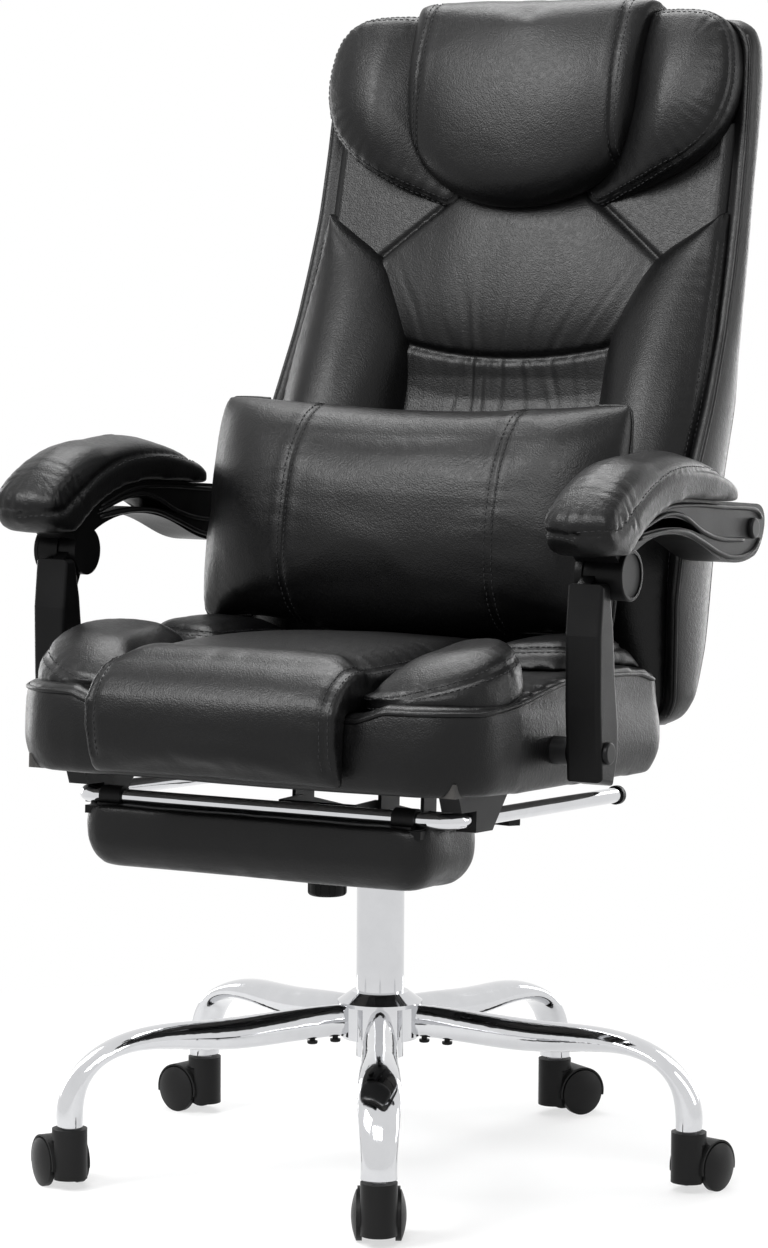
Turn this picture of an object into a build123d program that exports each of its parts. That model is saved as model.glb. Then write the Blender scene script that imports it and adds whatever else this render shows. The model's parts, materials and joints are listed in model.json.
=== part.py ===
from build123d import *
import math
import os

# Reclining office chair with a pull-out footrest, in millimetres.
# It faces -Y, +X is the sitter's left, the floor is Z = 0 and the column stands on the origin.

# Star base
LEG_COUNT = 5
FIRST_LEG_ANGLE = -62.0
STEM_CIRCLE_RADIUS = 334.0
LEG_ROOT_HEIGHT = 158.5
LEG_BEND_HEIGHT = 150.0
LEG_BEND_RADIUS = 75.0
LEG_END_HEIGHT = 66.0
LEG_WALL = 2.0
LEG_HOLLOW_END = 45.0
LEG_ROOT_SIZE = (34.0, 33.0)
LEG_MIDDLE_SIZE = (35.0, 34.0)
LEG_OUTER_SIZE = (38.0, 30.0)
LEG_BEND_SIZE = (42.0, 21.0)
LEG_THIN_SIZE = (42.0, 17.5)
LEG_END_SIZE = (36.0, 26.5)
HUB_RADIUS = 44.5
HUB_BOTTOM = 140.0
HUB_RIM_HEIGHT = 179.0
HUB_TOP = 189.0
HUB_COLLAR_RADIUS = 30.0
HUB_CHAMFER = 4.0
HUB_VALLEY_RADIUS = 14.0
HUB_VALLEY_OFFSET = 9.5
TONGUE_SIZE = (15.5, 13.0)
LEG_BOLT_SPACING = 25.0
LEG_BOLT_EDGE = 4.5
LEG_BOLT_HEAD_RADIUS = 5.5
LEG_BOLT_HEAD_HEIGHT = 3.2
LEG_BOLT_SHANK_RADIUS = 3.0

# Gas lift
COLUMN_RADIUS = 25.0
COLUMN_WALL = 1.5
COLUMN_BOTTOM = 120.0
COLUMN_TOP = 310.0
COLUMN_FLOOR = 4.0
BUSH_LENGTH = 88.0
BUSH_FLANGE = 3.0
ROD_RADIUS = 5.0
ROD_COLLAR_RADIUS = 10.0
ROD_COLLAR_HEIGHT = 4.0
ROD_CLIP_RADIUS = 8.0
ROD_CLIP_HEIGHT = 3.0
BEARING_RADIUS = 16.0
BEARING_HEIGHT = 7.0
PISTON_TOP = 298.0
PISTON_HEIGHT = 12.0
CYLINDER_RADIUS = 14.0
CYLINDER_WALL = 1.5
CYLINDER_BOTTOM = 188.0
CYLINDER_GLAND = 15.0
CYLINDER_TAPER_START = 344.0
CYLINDER_TOP = 376.0
CYLINDER_TOP_RADIUS = 13.0
CYLINDER_CAP = 24.0
VALVE_RADIUS = 3.0
VALVE_HEIGHT = 2.5
RUNNING_GAP = 0.05

# Casters, with the stem on the local Z axis and the barrel towards local +X
CASTER_ANGLES = (-62.0, -103.0, -122.0, -13.0, -34.0)
WHEEL_RADIUS = 25.0
WHEEL_TRAIL = 24.0
WHEEL_INNER = 16.3
WHEEL_EDGE = 22.0
WHEEL_DOME = 27.2
BARREL_RADIUS = 18.2
BARREL_BOTTOM = 11.0
BARREL_GAP = 3.0
HOOD_FRONT = 1.6
HOOD_WEB_GAP = 0.5
FENDER_GAP = 1.3
FENDER_WALL = 2.0
FENDER_WIDTH = 42.0
FENDER_BOTTOM = 20.0
STEM_RADIUS = 5.5
STEM_COLLAR_RADIUS = 8.0
STEM_IN_HOOD = 33.0
STEM_IN_LEG = 24.0
AXLE_RADIUS = 4.0
AXLE_HALF_LENGTH = 24.0
STEM_BORE_SPARE = 2.0

# Tilt mechanism
TILT_Y = -78.0
TILT_Z = 388.0
TILT_PIN_RADIUS = 5.0
HOUSING_HALF_WIDTH = 45.0
HOUSING_WALL = 3.0
HOUSING_FRONT = -138.0
HOUSING_REAR = 62.0
HOUSING_BOTTOM = 348.0
HOUSING_TOP = 404.0
HOUSING_REAR_TOP = 368.0
HOUSING_SLOPE_START = -92.0
BOSS_RADIUS = 20.0
BOSS_HEIGHT = 26.0
KNOB_Y = -116.0
KNOB_RADIUS = 20.0
KNOB_BOTTOM = 306.0
KNOB_GRIP_TOP = 333.0
KNOB_NECK_RADIUS = 11.0
KNOB_BOLT_RADIUS = 6.0
KNOB_NUT_RADIUS = 10.0
KNOB_NUT_HEIGHT = 7.0
KNOB_FLUTES = 8
KNOB_FLUTE_RADIUS = 4.0
BUFFER_RADIUS = 17.0
BUFFER_HEIGHT = 28.0
FACE_GAP = 0.3

# Seat, in its own level frame, which leans back by the rake about the tilt pin
SEAT_RAKE = 2.65
SEAT_HALF_WIDTH = 270.0
SEAT_FRONT = -335.0
SEAT_REAR = 134.0
SEAT_BOTTOM = 432.0
SEAT_BOX_TOP = 508.0
SEAT_TOP_INSET = 6.0
SEAT_CORNER_RADIUS = 75.0
SEAT_REAR_CORNER_RADIUS = 42.0
SEAT_BOARD_MARGIN = 30.0
SEAT_BOARD_THICKNESS = 14.0
CENTRE_HALF_WIDTH = 139.0
CENTRE_HEIGHT = 40.0
CENTRE_CROWN = 14.0
CENTRE_REAR_HEIGHT = 30.0
CENTRE_FALL = 30.0
CENTRE_KNEE_DEPTH = 55.0
CENTRE_KNEE_ROUND = 20.0
CENTRE_FALL_GAP = 3.0
CENTRE_FALL_BOTTOM = 436.0
CENTRE_REAR_SETBACK = 16.0
SIDE_PAD_GAP = 3.0
SIDE_PAD_HEIGHT = 64.0
SIDE_PAD_SPLIT = -112.0
SIDE_PAD_SETBACK = 13.0
FRONT_PAD_SHAPE = (
    (0.05, 0.06),
    (0.16, 0.025),
    (0.5, 0.05),
    (0.82, 0.17),
    (0.96, 0.38),
    (0.91, 0.62),
    (0.72, 0.79),
    (0.4, 0.9),
    (0.1, 0.93),
    (0.04, 0.85),
    (0.035, 0.6),
    (0.035, 0.3),
)
REAR_PAD_SHAPE = (
    (0.045, 0.1),
    (0.1, 0.03),
    (0.5, 0.02),
    (0.88, 0.08),
    (0.965, 0.3),
    (0.965, 0.7),
    (0.9, 0.92),
    (0.6, 0.975),
    (0.1, 0.965),
    (0.04, 0.85),
    (0.035, 0.45),
)
FRONT_PAD_PEAK = (0.45, 0.62)
REAR_PAD_PEAK = (0.45, 0.35)
SEAT_WALL_LINE = ((-285.0, 0.0), (-215.0, 9.0), (-130.0, 31.0), (-40.0, 38.0), (60.0, 36.0), (128.0, 22.0))
SEAT_WALL_FOOT = 8.0
CUSHION_GAP = 0.3
PLATE_HALF_WIDTH = 90.0
PLATE_FRONT = -150.0
PLATE_REAR = 105.0
PLATE_THICKNESS = 4.0
EAR_GAP = 3.0
EAR_THICKNESS = 4.0
EAR_HALF_LENGTH = 20.0
EAR_RADIUS = 12.0
SCREW_INSET = 14.0
SCREW_HEAD_RADIUS = 7.0
SCREW_HEAD_HEIGHT = 4.0
SCREW_RADIUS = 3.0
SCREW_DEPTH = 12.0

# Levers
LEVER_RADIUS = 4.0
LEVER_HOLE_RADIUS = 4.5
HEIGHT_LEVER_Y = 22.0
HEIGHT_LEVER_Z = 361.0
HEIGHT_LEVER_REACH = 185.0
HEIGHT_LEVER_INSIDE = 18.0
RECLINE_LEVER_Y = -63.0
RECLINE_LEVER_Z = 389.0
RECLINE_LEVER_REACH = 192.0
RECLINE_LEVER_INSIDE = 10.0
LEVER_FLANGE_HALF_LENGTH = 14.0
LEVER_FLANGE_DROP = 12.0
PADDLE_LENGTH = 46.0
PADDLE_THICKNESS = 7.0
PADDLE_ROOT_WIDTH = 12.0
PADDLE_TIP_WIDTH = 26.0

# Footrest, in the seat's level frame
RAIL_RADIUS = 8.0
RAIL_WALL = 1.2
RAIL_HALF_SPAN = 212.0
RAIL_BEND_RADIUS = 32.0
RAIL_DROP = 27.3
RAIL_FRONT = -260.0
RAIL_REAR = 122.0
CAP_RADIUS = 10.0
CAP_LENGTH = 8.0
CAP_PLUG = 14.0
BRACKET_FRONT = -264.0
BRACKET_REAR = -152.0
BRACKET_TAPER = 18.0
BRACKET_HALF_WIDTH = 11.0
BRACKET_FLOOR = 4.0
REST_SIDE_GAP = 15.0
REST_FRONT_LIP = 24.0
REST_DEPTH = 138.0
REST_HEIGHT = 59.0
REST_CORNER = 30.0
REST_BOARD_THICKNESS = 8.0
REST_BOARD_MARGIN = 7.0
REST_BAR_GAP = 1.2
CLIP_END_GAP = 2.0
CLIP_WIDTH = 24.0
CLIP_WALL = 3.0
CLIP_FOOT = 14.0

# Armrests, left one described, the right one is its mirror image
POST_PIVOT = (-145.0, 475.0)
ARM_PIVOT = (-118.0, 647.0)
ARM_REAR_BOLT = (193.0, 676.0)
ARM_SIDE_GAP = 16.0
ARM_WIDTH = 46.0
POST_WIDTH = 38.0
POST_EYE_INSET = 8.0
POST_EYE_WIDTH = 14.0
POST_EYE_RADIUS = 23.0
ARM_LUG_RADIUS = 25.0
ARM_LUG_GAP = 0.4
ARM_RELIEF = 2.0
ARM_NECK_ANGLE = 32.0
ARM_PIN_RADIUS = 6.0
ARM_CAP_RADIUS = 25.5
ARM_CAP_HEIGHT = 5.0
ARM_CAP_RIM = 4.0
ARM_CAP_DISH = 1.5
ARM_BOLT_RADIUS = 5.0
ARM_BOLT_CAP_RADIUS = 11.0
ARM_BOLT_CAP_HEIGHT = 4.5
ARM_BOLT_DEPTH = 26.0
ARM_SPACER_RADIUS = 14.0
SPACER_INSET = 1.5
OPEN_PIVOT_GAP = 0.3
FRAME_TOP = ((-148.0, 668.0), (-93.0, 699.5), (-30.0, 714.0), (40.0, 713.5), (118.0, 707.5), (204.0, 701.0))
FRAME_REAR = ((227.0, 684.0), (218.0, 660.0), (195.0, 646.0))
FRAME_BOTTOM = ((153.0, 642.5), (109.0, 649.0), (51.0, 669.0), (-8.0, 681.0), (-65.0, 679.0), (-104.0, 668.0))
SLOT_TOP = ((-98.0, 685.0), (-32.0, 698.0), (14.0, 694.0), (62.0, 676.0))
SLOT_BOTTOM = ((62.0, 676.0), (19.0, 685.0), (-31.0, 688.5), (-98.0, 685.0))
POST_OUTLINE = (
    (-158.0, 447.0),
    (-164.0, 520.0),
    (-165.0, 590.0),
    (-159.0, 640.0),
    (-140.0, 640.0),
    (-131.0, 600.0),
    (-124.0, 540.0),
    (-117.0, 500.0),
    (-117.0, 468.0),
    (-127.0, 441.0),
)
ARM_PAD_NOSE = (-182.0, 668.0)
ARM_PAD_CHIN = (-203.0, 684.0)
ARM_PAD_TIP = (-207.0, 708.0)
ARM_PAD_BROW = (-160.0, 745.0)
ARM_PAD_CREST = (-80.0, 762.0)
ARM_PAD_TOP = (40.0, 757.0)
ARM_PAD_REAR = (118.0, 729.0)
ARM_PAD_INNER_LAP = 8.0
ARM_PAD_OUTER_LAP = 18.0
ARM_PAD_GAP = 0.5
ARM_PAD_EDGE_DROP = 18.0
POST_EDGE_FILLET = 5.0

# Back, with the shell's front line in the side view and its half outline in the front view
BACK_FRONT_LINE = ((186.0, 462.0), (214.0, 560.0), (230.0, 650.0), (284.0, 800.0), (389.0, 1215.0))
BACK_REAR_LINE = (
    (224.0, 462.0),
    (255.0, 560.0),
    (271.0, 650.0),
    (324.0, 800.0),
    (411.0, 1150.0),
    (405.0, 1205.0),
)
BACK_HALF_OUTLINE = (
    (236.0, 462.0),
    (258.0, 474.0),
    (268.0, 495.0),
    (271.0, 540.0),
    (271.0, 800.0),
    (262.0, 900.0),
    (256.0, 1000.0),
    (252.0, 1100.0),
    (248.0, 1185.0),
    (226.0, 1215.0),
)
BACK_BOARD_THICKNESS = 12.0
BACK_BOARD_COVER = 12.0
BACK_BOARD_HALF_WIDTH = 210.0
BACK_BOARD_BOTTOM = 505.0
BACK_BOARD_TOP = 1170.0
BACK_GAP = 0.5
BOLSTER_STATIONS = (
    (474.0, 150.0, 158.0),
    (540.0, 136.0, 138.0),
    (650.0, 126.0, 134.0),
    (800.0, 121.0, 202.0),
    (880.0, 126.0, 246.0),
    (950.0, 160.0, 284.0),
    (1002.0, 226.0, 318.0),
)
BOLSTER_SHOULDER = 14.0
BOLSTER_LIP = 9.0
LOWER_PAD_BOTTOM = 550.0
LOWER_PAD_TOP = 849.0
PANEL_HALF_WIDTH = 117.0
PANEL_EDGE = 6.0
PANEL_CROWN = 24.0
UPPER_PANEL = ((116.0, 853.0), (118.0, 878.0), (150.0, 952.0), (96.0, 1001.0))
UPPER_PANEL_HEIGHT = 24.0
SHOULDER_PANEL = (
    (106.0, 1006.0),
    (158.0, 960.0),
    (176.0, 968.0),
    (222.0, 1008.0),
    (249.0, 1008.0),
    (246.0, 1088.0),
    (232.0, 1058.0),
    (196.0, 1030.0),
    (150.0, 1010.0),
)
SHOULDER_HEIGHT = 18.0
WING_OUTLINE = (
    (106.0, 1012.0),
    (150.0, 1022.0),
    (196.0, 1042.0),
    (229.0, 1070.0),
    (242.0, 1108.0),
    (243.0, 1150.0),
    (237.0, 1190.0),
    (220.0, 1216.0),
    (190.0, 1226.0),
    (110.0, 1226.0),
    (104.0, 1120.0),
)
WING_HEIGHT = 62.0
HEAD_ROLL_HALF_WIDTH = 138.0
HEAD_ROLL_BOTTOM = 1003.0
HEAD_ROLL_TOP = 1238.0
HEAD_ROLL_HEIGHT = 90.0
HEAD_ROLL_STATIONS = (
    (0.0, 1.0, 0.0),
    (0.45, 0.98, 9.0),
    (0.75, 0.9, 30.0),
    (0.92, 0.78, 56.0),
    (1.0, 0.66, 84.0),
)

# Recline hinge, which makes a parallelogram with the two arm pivots and the rear arm bolt
HINGE_Y = ARM_REAR_BOLT[0] - ARM_PIVOT[0] + POST_PIVOT[0]
HINGE_Z = ARM_REAR_BOLT[1] - ARM_PIVOT[1] + POST_PIVOT[1]
HINGE_RADIUS = 11.0
HINGE_PIN_RADIUS = 5.0
HINGE_PLATE_X = 100.0
HINGE_PLATE = 5.0
HINGE_PLATE_GAP = 0.5
HINGE_PIN_SPARE = 4.0
HINGE_ARM_FRONT = 138.0
HINGE_ARM_WIDTH = 14.0
HINGE_FOOT_FRONT = 20.0
HINGE_FOOT_HEIGHT = 8.0
LEAF_BOTTOM = 480.0
LEAF_TOP = 546.0

# Lumbar pillow, leaning on the bolsters
PILLOW_HALF_WIDTH = 238.0
PILLOW_HEIGHT = 252.0
PILLOW_THICKNESS = 152.0
PILLOW_Y = 48.0
PILLOW_Z = 681.0
PILLOW_LEAN = 12.0
PILLOW_STATIONS = (
    (0.0, 1.0, 1.0),
    (0.45, 0.985, 0.98),
    (0.72, 0.93, 0.84),
    (0.9, 0.925, 0.52),
    (1.0, 0.92, 0.18),
)
REST_GAP = 0.3

UP = (Align.CENTER, Align.CENTER, Align.MIN)


def disc(radius, bottom, top, y=0.0):
    """Upright cylinder between two heights."""
    return Pos(0, y, bottom) * Cylinder(radius, top - bottom, align=UP)


def rod_x(radius, x_from, x_to, y, z):
    """Cylinder along X."""
    return Pos(x_from, y, z) * Rot(0, 90, 0) * Cylinder(radius, x_to - x_from, align=UP)


def rod_y(radius, half_length, x, z):
    """Cylinder along Y, centred on Y = 0."""
    return Pos(x, 0, z) * Rot(90, 0, 0) * Cylinder(radius, 2 * half_length)


def block(x_range, y_range, z_range):
    """Box between two corners."""
    low = Vector(x_range[0], y_range[0], z_range[0])
    high = Vector(x_range[1], y_range[1], z_range[1])
    size = high - low
    return Pos(*((low + high) * 0.5)) * Box(size.X, size.Y, size.Z)


def side_plate(points, x_from, x_to):
    """Side-view outline (Y, Z) extruded along X."""
    wire = Polyline(*[(x_from, y, z) for y, z in points], close=True)
    return extrude(make_face(wire), x_to - x_from, dir=(1, 0, 0))


def turned(profile):
    """Outline of (radius, height) points turned about Z."""
    wire = Polyline(*[(radius, 0, height) for radius, height in profile], close=True)
    return revolve(make_face(wire), Axis.Z)


def mirrored(shape):
    """The same piece on the sitter's right."""
    return mirror(shape, about=Plane.YZ)


def both_sides(shape):
    """A piece and its mirror image, as separate solids."""
    return [shape, mirrored(shape)]


def line_at(line, height):
    """Y of a side-view line of (Y, Z) points at a height."""
    for (y0, z0), (y1, z1) in zip(line, line[1:]):
        if z0 <= height <= z1:
            return y0 + (y1 - y0) * (height - z0) / (z1 - z0)
    raise ValueError("height is outside the line")


def outline_at(height):
    """Half width of the back at a height."""
    return line_at(BACK_HALF_OUTLINE, height)


def raked(shape):
    """Leans a piece of the seat's level frame back by the rake."""
    return shape.rotate(Axis((0, TILT_Y, TILT_Z), (1, 0, 0)), -SEAT_RAKE)


def in_seat_frame(point):
    """A side-view point (Y, Z) of the chair, in the seat's level frame."""
    angle = math.radians(SEAT_RAKE)
    y = point[0] - TILT_Y
    z = point[1] - TILT_Z
    return (
        TILT_Y + y * math.cos(angle) - z * math.sin(angle),
        TILT_Z + y * math.sin(angle) + z * math.cos(angle),
    )


def save(name, *shapes):
    """Writes one node, as one solid or a group of solids."""
    solids = [solid for shape in shapes for solid in shape.solids()]
    export_step(solids[0] if len(solids) == 1 else Compound(solids), f"parts/{name}.step")


# Star base

BEND_START = STEM_CIRCLE_RADIUS - LEG_BEND_RADIUS
LEG_SLOPE = math.atan2(LEG_ROOT_HEIGHT - LEG_BEND_HEIGHT, BEND_START)
LEG_ANGLES = [FIRST_LEG_ANGLE + 360.0 / LEG_COUNT * k for k in range(LEG_COUNT)]
BOLT_RADII = [HUB_RADIUS + LEG_BOLT_EDGE, HUB_RADIUS + LEG_BOLT_EDGE + LEG_BOLT_SPACING]


def leg_line(radius):
    """Height of the leg's centre line on its straight run."""
    return LEG_ROOT_HEIGHT - radius * math.tan(LEG_SLOPE)


def straight_section(radius, size, wall):
    plane = Plane(
        origin=(radius, 0, leg_line(radius)),
        x_dir=(0, 1, 0),
        z_dir=(math.cos(LEG_SLOPE), 0, -math.sin(LEG_SLOPE)),
    )
    return plane * Ellipse(size[0] / 2 - wall, size[1] / 2 - wall)


def bend_plane(degrees):
    turn = math.radians(degrees)
    x = BEND_START + LEG_BEND_RADIUS * math.sin(turn)
    z = LEG_BEND_HEIGHT - LEG_BEND_RADIUS * (1 - math.cos(turn))
    return Plane(origin=(x, 0, z), x_dir=(0, 1, 0), z_dir=(math.cos(turn), 0, -math.sin(turn)))


def bend_section(degrees, size, wall):
    return bend_plane(degrees) * Ellipse(size[0] / 2 - wall, size[1] / 2 - wall)


def leg_end(wall):
    """Section at the straight foot of the leg above the caster."""
    plane = Plane(
        origin=(STEM_CIRCLE_RADIUS, 0, LEG_END_HEIGHT), x_dir=(0, 1, 0), z_dir=(0, 0, -1)
    )
    return plane * Ellipse(LEG_END_SIZE[0] / 2 - wall, LEG_END_SIZE[1] / 2 - wall)


def leg_form(wall):
    """The leg from inside the hub to the caster, drawn in by a wall."""
    sections = [
        straight_section(HUB_RADIUS / 2, LEG_ROOT_SIZE, wall),
        straight_section(BEND_START * 0.47, LEG_MIDDLE_SIZE, wall),
        straight_section(BEND_START * 0.76, LEG_OUTER_SIZE, wall),
        bend_section(4, LEG_BEND_SIZE, wall),
        bend_section(LEG_HOLLOW_END, LEG_THIN_SIZE, wall),
        bend_section(80, LEG_END_SIZE, wall),
        leg_end(wall),
    ]
    return loft(sections)


def leg_bolt(radius):
    underside = leg_line(radius) - LEG_ROOT_SIZE[1] / 2 - FACE_GAP
    tongue = leg_line(radius) - TONGUE_SIZE[1] / 2
    head = disc(LEG_BOLT_HEAD_RADIUS, underside - LEG_BOLT_HEAD_HEIGHT, underside)
    head = fillet(head.edges().group_by(Axis.Z)[0], LEG_BOLT_HEAD_HEIGHT / 2)
    shank = disc(LEG_BOLT_SHANK_RADIUS, underside, tongue + LEG_BOLT_HEAD_RADIUS)
    return Pos(radius, 0, 0) * (head + shank)


def leg():
    room = 2 * STEM_CIRCLE_RADIUS
    beyond = bend_plane(LEG_HOLLOW_END) * Box(room, room, room, align=UP)
    solid = leg_form(0) - disc(HUB_RADIUS, 0, COLUMN_TOP)
    solid = solid - (leg_form(LEG_WALL) - beyond)
    bore_depth = STEM_IN_LEG + STEM_BORE_SPARE
    bore = disc(STEM_RADIUS + RUNNING_GAP, LEG_END_HEIGHT, LEG_END_HEIGHT + bore_depth)
    solid = solid - Pos(STEM_CIRCLE_RADIUS, 0, 0) * bore
    for radius in BOLT_RADII:
        solid = solid - leg_bolt(radius)
    return max(solid.solids(), key=lambda s: s.volume)


def hub():
    solid = turned(
        (
            (COLUMN_RADIUS, HUB_BOTTOM),
            (HUB_RADIUS - HUB_CHAMFER, HUB_BOTTOM),
            (HUB_RADIUS, HUB_BOTTOM + HUB_CHAMFER),
            (HUB_RADIUS, HUB_RIM_HEIGHT),
            (HUB_COLLAR_RADIUS, HUB_TOP),
            (COLUMN_RADIUS, HUB_TOP),
        )
    )
    tongue_end = BOLT_RADII[-1] + 2 * LEG_BOLT_HEAD_RADIUS
    for angle in LEG_ANGLES:
        valley = disc(HUB_VALLEY_RADIUS, HUB_BOTTOM, HUB_RIM_HEIGHT - HUB_CHAMFER)
        valley = Pos(HUB_RADIUS + HUB_VALLEY_OFFSET, 0, 0) * valley
        solid = solid - Rot(0, 0, angle + 180.0 / LEG_COUNT) * valley
    for angle in LEG_ANGLES:
        height = leg_line(BOLT_RADII[0])
        half = TONGUE_SIZE[1] / 2
        tongue = block(
            ((COLUMN_RADIUS + HUB_RADIUS) / 2, tongue_end),
            (-TONGUE_SIZE[0] / 2, TONGUE_SIZE[0] / 2),
            (height - half, height + half),
        )
        for radius in BOLT_RADII:
            tongue = tongue - leg_bolt(radius)
        solid = solid + Rot(0, 0, angle) * tongue
    return solid


def around_base(shape):
    return [Rot(0, 0, angle) * shape for angle in LEG_ANGLES]


# Gas lift

COLUMN_BORE = COLUMN_RADIUS - COLUMN_WALL
BEARING_BOTTOM = COLUMN_BOTTOM + COLUMN_FLOOR
BEARING_TOP = BEARING_BOTTOM + BEARING_HEIGHT


def column_tube():
    tube = disc(COLUMN_RADIUS, COLUMN_BOTTOM, COLUMN_TOP)
    tube = tube - disc(COLUMN_BORE, BEARING_BOTTOM, COLUMN_TOP)
    return tube - disc(ROD_RADIUS + RUNNING_GAP, COLUMN_BOTTOM, BEARING_BOTTOM)


def column_bush():
    bush = disc(COLUMN_BORE, COLUMN_TOP - BUSH_LENGTH, COLUMN_TOP)
    bush = bush + disc(COLUMN_RADIUS, COLUMN_TOP, COLUMN_TOP + BUSH_FLANGE)
    return bush - disc(CYLINDER_RADIUS + RUNNING_GAP, COLUMN_BOTTOM, COLUMN_TOP + BUSH_FLANGE)


def thrust_bearing():
    ring = disc(BEARING_RADIUS, BEARING_BOTTOM, BEARING_TOP)
    return ring - disc(ROD_RADIUS + RUNNING_GAP, BEARING_BOTTOM, BEARING_TOP)


def piston_rod():
    clip_top = COLUMN_BOTTOM - FACE_GAP
    rod = disc(ROD_RADIUS, clip_top - 2 * ROD_CLIP_HEIGHT, PISTON_TOP)
    rod = rod + disc(ROD_CLIP_RADIUS, clip_top - ROD_CLIP_HEIGHT, clip_top)
    rod = rod + disc(ROD_COLLAR_RADIUS, BEARING_TOP, BEARING_TOP + ROD_COLLAR_HEIGHT)
    piston_radius = CYLINDER_RADIUS - CYLINDER_WALL - RUNNING_GAP
    return rod + disc(piston_radius, PISTON_TOP - PISTON_HEIGHT, PISTON_TOP)


def cylinder_body():
    """Outside of the gas cylinder."""
    return turned(
        (
            (0, CYLINDER_BOTTOM),
            (CYLINDER_RADIUS, CYLINDER_BOTTOM),
            (CYLINDER_RADIUS, CYLINDER_TAPER_START),
            (CYLINDER_TOP_RADIUS, CYLINDER_TOP),
            (0, CYLINDER_TOP),
        )
    )


def gas_cylinder():
    bore_bottom = CYLINDER_BOTTOM + CYLINDER_GLAND
    body = cylinder_body()
    body = body - disc(CYLINDER_RADIUS - CYLINDER_WALL, bore_bottom, CYLINDER_TOP - CYLINDER_CAP)
    body = body - disc(ROD_RADIUS + RUNNING_GAP, CYLINDER_BOTTOM, bore_bottom)
    return body + disc(VALVE_RADIUS, CYLINDER_TOP, CYLINDER_TOP + VALVE_HEIGHT)


# Casters

BARREL_TOP = LEG_END_HEIGHT - BARREL_GAP


def caster_hood():
    web = WHEEL_INNER - HOOD_WEB_GAP
    liner = WHEEL_RADIUS + FENDER_GAP
    barrel = disc(BARREL_RADIUS, BARREL_BOTTOM, BARREL_TOP)
    barrel_rear = ((-BARREL_RADIUS, HOOD_FRONT), (-BARREL_RADIUS, BARREL_RADIUS))
    barrel = barrel - block(*barrel_rear, (BARREL_BOTTOM, 2 * WHEEL_RADIUS + FENDER_GAP))
    fender = rod_y(liner + FENDER_WALL, FENDER_WIDTH / 2, -WHEEL_TRAIL, WHEEL_RADIUS)
    fender = fender - rod_y(liner, FENDER_WIDTH / 2, -WHEEL_TRAIL, WHEEL_RADIUS)
    fender = fender + rod_y(liner, web, -WHEEL_TRAIL, WHEEL_RADIUS)
    room = (-4 * WHEEL_RADIUS, 4 * WHEEL_RADIUS)
    below = block(room, room, (-WHEEL_RADIUS, FENDER_BOTTOM))
    core = rod_y(WHEEL_RADIUS - BARREL_BOTTOM, web, -WHEEL_TRAIL, WHEEL_RADIUS)
    bridge = block((-WHEEL_TRAIL, HOOD_FRONT), (-web, web), (BARREL_BOTTOM, 2 * WHEEL_RADIUS))
    hood = barrel + (fender - below) + core + bridge
    hood = hood - disc(STEM_RADIUS, BARREL_TOP - STEM_IN_HOOD, BARREL_TOP)
    return hood - rod_y(AXLE_RADIUS, FENDER_WIDTH, -WHEEL_TRAIL, WHEEL_RADIUS)


def caster_pins():
    stem = disc(STEM_RADIUS, BARREL_TOP - STEM_IN_HOOD, LEG_END_HEIGHT + STEM_IN_LEG)
    stem = stem + disc(STEM_COLLAR_RADIUS, BARREL_TOP, LEG_END_HEIGHT - FACE_GAP)
    axle = rod_y(AXLE_RADIUS, AXLE_HALF_LENGTH, -WHEEL_TRAIL, WHEEL_RADIUS)
    return [stem, axle]


def caster_wheel():
    rise = WHEEL_DOME - WHEEL_EDGE
    dome_radius = (WHEEL_RADIUS**2 + rise**2) / (2 * rise)
    dome = Pos(0, 0, WHEEL_DOME - dome_radius) * Sphere(dome_radius)
    wheel = disc(WHEEL_RADIUS, WHEEL_INNER, WHEEL_DOME) & dome
    bore_end = AXLE_HALF_LENGTH + FACE_GAP
    wheel = wheel - disc(AXLE_RADIUS + RUNNING_GAP, WHEEL_INNER, bore_end)
    return Pos(-WHEEL_TRAIL, 0, WHEEL_RADIUS) * Rot(-90, 0, 0) * wheel


def on_stem(shape, index):
    """Places a caster piece under a leg, turned to its own heading."""
    angle = math.radians(LEG_ANGLES[index])
    x = STEM_CIRCLE_RADIUS * math.cos(angle)
    y = STEM_CIRCLE_RADIUS * math.sin(angle)
    return Pos(x, y, 0) * Rot(0, 0, CASTER_ANGLES[index]) * shape


# Tilt mechanism

def tilt_housing():
    outside = (
        (HOUSING_FRONT, HOUSING_BOTTOM),
        (HOUSING_REAR, HOUSING_BOTTOM),
        (HOUSING_REAR, HOUSING_REAR_TOP),
        (HOUSING_SLOPE_START, HOUSING_TOP),
        (HOUSING_FRONT, HOUSING_TOP),
    )
    shell = side_plate(outside, -HOUSING_HALF_WIDTH, HOUSING_HALF_WIDTH)
    inner = HOUSING_HALF_WIDTH - HOUSING_WALL
    floor = HOUSING_BOTTOM + HOUSING_WALL
    hollow = block(
        (-inner, inner),
        (HOUSING_FRONT + HOUSING_WALL, HOUSING_REAR - HOUSING_WALL),
        (floor, HOUSING_TOP + HOUSING_WALL),
    )
    shell = shell - hollow
    shell = shell + disc(BOSS_RADIUS, HOUSING_BOTTOM, HOUSING_BOTTOM + BOSS_HEIGHT)
    shell = shell - cylinder_body()
    shell = shell - disc(KNOB_BOLT_RADIUS + RUNNING_GAP, HOUSING_BOTTOM, floor, KNOB_Y)
    pin_hole = TILT_PIN_RADIUS + RUNNING_GAP
    shell = shell - rod_x(pin_hole, -HOUSING_HALF_WIDTH, HOUSING_HALF_WIDTH, TILT_Y, TILT_Z)
    lever_hole = rod_x(
        LEVER_HOLE_RADIUS, -HOUSING_HALF_WIDTH, -inner, HEIGHT_LEVER_Y, HEIGHT_LEVER_Z
    )
    return shell - lever_hole


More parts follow.
